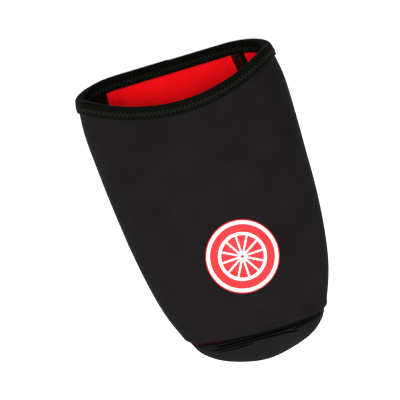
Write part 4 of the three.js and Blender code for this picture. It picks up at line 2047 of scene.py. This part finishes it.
@dataclass
class Badge:
    """Round print on the top of the toes: red disc, white ring and a generic spoked wheel."""

    last: LastShape
    wardrobe: Wardrobe
    diameter: float = 39.5
    centre_x: float = 29.0
    centre_y: float = 3.0
    thickness: float = 0.35
    ring_outer: float = 19.15
    ring_inner: float = 17.3
    wheel_outer: float = 13.0
    wheel_inner: float = 11.4
    hub_radius: float = 2.6
    hub_hole: float = 0.9
    spokes: int = 12
    spoke_width: float = 0.9
    spoke_overlap: float = 0.2
    ink: float = 0.07
    ink_sunk: float = 0.05
    disc_sunk: float = 0.1
    drop_from: float = 0.08

    def lay(self, surface: Surface, loops: list[Array], low: float, high: float, tree: BVHTree) -> None:
        """Lay a grid of plan points on the upper as a thin plate.

        Args:
            surface: Surface that takes the plate.
            loops: Rows of points in plan round the badge's centre.
            low: Height of its underside above the cloth.
            high: Height of its top.
            tree: The upper's surface.
        """
        rows = np.array(loops)
        base, normals = self.dropped(rows, tree)
        top = surface.add_points(base + normals * high)
        bottom = surface.add_points(base + normals * low)
        uv = rows * MM
        surface.add_grid(top, uv, 0)
        surface.add_grid(bottom, uv, 0, flip=True)
        for row, flip in ((0, False), (-1, True)):
            surface.add_strip(bottom[row], top[row], uv[row], 0, flip)

    def dropped(self, plan: Array, tree: BVHTree) -> tuple[Array, Array]:
        """Drop plan points straight down on the upper.

        Args:
            plan: Points round the badge's centre, in millimetres.
            tree: The upper's surface in metres.

        Returns:
            Points on the surface and their normals.
        """
        points = np.zeros((*plan.shape[:-1], 3))
        normals = np.zeros_like(points)
        for place in np.ndindex(*plan.shape[:-1]):
            x = (self.centre_x + plan[place][0]) * MM
            y = (self.centre_y + plan[place][1]) * MM
            hit, normal, _, _ = tree.ray_cast(Vector((x, y, self.drop_from)), Vector((0, 0, -1)))
            points[place] = np.array(hit) / MM
            normals[place] = normal
        return points, normals

    def ring(self, inner: float, outer: float, rings: int, sectors: int = 96) -> list[Array]:
        """Return rows of plan points from an inner to an outer radius, clockwise and closed.

        Args:
            inner: Inner radius in millimetres.
            outer: Outer radius.
            rings: Number of rows.
            sectors: Number of steps round.

        Returns:
            Rows of points.
        """
        angles = np.linspace(0, -2 * math.pi, sectors + 1)
        directions = np.stack([np.cos(angles), np.sin(angles)], axis=1)
        return [radius * directions for radius in np.linspace(inner, outer, rings)]

    def build(self, upper: Object) -> list[Object]:
        """Build the disc and its print on the upper.

        Args:
            upper: The finished upper.

        Returns:
            The disc and the print.
        """
        work = bmesh.new()
        work.from_mesh(upper.data)
        tree = BVHTree.FromBMesh(work)
        work.free()
        disc = Surface()
        self.lay(disc, self.ring(0.0, self.diameter / 2, 22), -self.disc_sunk, self.thickness, tree)
        red = add_object("badge_disc", disc.to_mesh("badge_disc"), [self.wardrobe.red_print])
        weld(red.data)
        marks = Surface()
        low, high = self.thickness - self.ink_sunk, self.thickness + self.ink
        for ring in (
            self.ring(self.ring_inner, self.ring_outer, 5),
            self.ring(self.wheel_inner, self.wheel_outer, 5),
            self.ring(self.hub_hole, self.hub_radius, 4, sectors=36),
        ):
            self.lay(marks, ring, low, high, tree)
        for number in range(self.spokes):
            angle = 2 * math.pi * number / self.spokes
            along = np.array([math.cos(angle), math.sin(angle)])
            aside = np.array([along[1], -along[0]])
            overlap = self.spoke_overlap
            radii = np.linspace(self.hub_radius - overlap, self.wheel_inner + overlap, 10)
            rails = np.linspace(-0.5, 0.5, 3) * self.spoke_width
            rows = [np.array([radius * along + rail * aside for rail in rails]) for radius in radii]
            self.lay(marks, rows, low, high, tree)
        white = add_object("badge_print", marks.to_mesh("badge_print"), [self.wardrobe.white_print])
        weld(white.data)
        dress(red, Slot.BADGE, "badge")
        dress(white, Slot.BADGE)
        return [red, white]


def weld(mesh: Mesh, distance: float = 1e-7) -> None:
    """Merge a mesh's doubled vertices, close its open edges and point its faces outwards.

    Args:
        mesh: The mesh to mend.
        distance: How close doubles lie, in metres.
    """
    work = bmesh.new()
    work.from_mesh(mesh)
    bmesh.ops.remove_doubles(work, verts=work.verts, dist=distance)
    open_edges = [edge for edge in work.edges if len(edge.link_faces) == 1]
    if open_edges:
        bmesh.ops.holes_fill(work, edges=open_edges, sides=0)
    bmesh.ops.recalc_face_normals(work, faces=work.faces)
    work.to_mesh(mesh)
    work.free()


@dataclass
class Studio:
    """Pale floor, soft light and the camera of the photograph, straight above the cover."""

    height: float = 0.9
    frame_width: float = 0.2158
    aim: tuple[float, float] = (-0.0066, -0.0086)
    aim_height: float = 0.02
    right: tuple[float, float] = (0.326, 0.946)
    lights: tuple[tuple[str, tuple[float, float, float], float, float], ...] = (
        ("key", (0.7, 0.05, 0.75), 0.45, 11),
        ("fill", (-0.2, -0.75, 0.8), 0.9, 7),
        ("top", (0.2, 0.12, 1.5), 0.6, 13),
    )
    room_colour: Colour = (0.95, 0.97, 1.0)
    room_strength: float = 0.34
    floor_half: float = 3.0

    def add_camera(self) -> Object:
        """Hang the camera over the cover, rolled as the photograph shows it.

        Returns:
            The camera.
        """
        data = bpy.data.cameras.new("overhead")
        data.sensor_width = 36
        data.lens = data.sensor_width * self.height / self.frame_width
        camera = bpy.data.objects.new("overhead", data)
        right = Vector((*self.right, 0)).normalized()
        up = Vector((-right.y, right.x, 0))
        turn = Matrix((right, up, Vector((0, 0, 1)))).transposed().to_4x4()
        camera.matrix_world = Matrix.Translation((*self.aim, self.aim_height + self.height)) @ turn
        bpy.context.scene.collection.objects.link(camera)
        bpy.context.scene.camera = camera
        return camera

    def add_floor(self) -> Object:
        """Lay the pale floor.

        Returns:
            The floor.
        """
        mesh = bpy.data.meshes.new("floor")
        signs = ((-1, -1), (1, -1), (1, 1), (-1, 1))
        corners = [(x * self.floor_half, y * self.floor_half, 0) for x, y in signs]
        mesh.from_pydata(corners, [], [(0, 1, 2, 3)])
        floor = add_object("floor", mesh, [FloorFinish().material()])
        floor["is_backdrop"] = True
        return floor

    def add_light(self, name: str, place: tuple[float, ...], size: float, power: float) -> Object:
        """Hang a soft square light that looks at the cover.

        Args:
            name: Name of the light.
            place: Its place in metres.
            size: Its side in metres.
            power: Its power in watts.

        Returns:
            The light.
        """
        data = bpy.data.lights.new(name, "AREA")
        data.size = size
        data.energy = power
        light = bpy.data.objects.new(name, data)
        light.location = place
        light.rotation_euler = (-Vector(place)).to_track_quat("-Z", "Y").to_euler()
        bpy.context.scene.collection.objects.link(light)
        return light

    def build(self) -> None:
        """Set up the camera, the lights, the room's light and the floor."""
        self.add_camera()
        for light in self.lights:
            self.add_light(*light)
        world = bpy.data.worlds.new("room")
        world.use_nodes = True
        background = world.node_tree.nodes["Background"]
        background.inputs["Color"].default_value = (*self.room_colour, 1)
        background.inputs["Strength"].default_value = self.room_strength
        bpy.context.scene.world = world
        bpy.context.scene.view_settings.view_transform = "Standard"
        self.add_floor()


def write_sizes() -> None:
    """Put the box of the solids and that of the finished cover into plain lists, which stay unwritten."""
    boxes = {"cad": cad_box, "visual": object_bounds()}
    plain = {name: [list(corner) for corner in box] for name, box in boxes.items()}


def main() -> None:
    """Build the studio and every piece of the cover in order."""
    logging.basicConfig(level=logging.INFO, format="%(name)s: %(message)s")
    Studio().build()
    last = LastShape()
    relief = Relief(last)
    wardrobe = Wardrobe()
    upper = UpperShell(last, relief, wardrobe).build()
    ToeCap(last, relief, wardrobe).build()
    sole = SolePanel(last, wardrobe)
    sole.build()
    SoleDots(sole).build()
    overlock = Overlock(last, wardrobe)
    overlock.sole_seam()
    overlock.toe_seam()
    binding = FoldedBinding(last, wardrobe)
    binding.build()
    binding.zigzag(Leg.OUTER)
    binding.zigzag(Leg.INNER)
    SeamTape(last, wardrobe).build()
    Badge(last, wardrobe).build(upper)
    write_sizes()


if __name__ == "__main__":
    main()
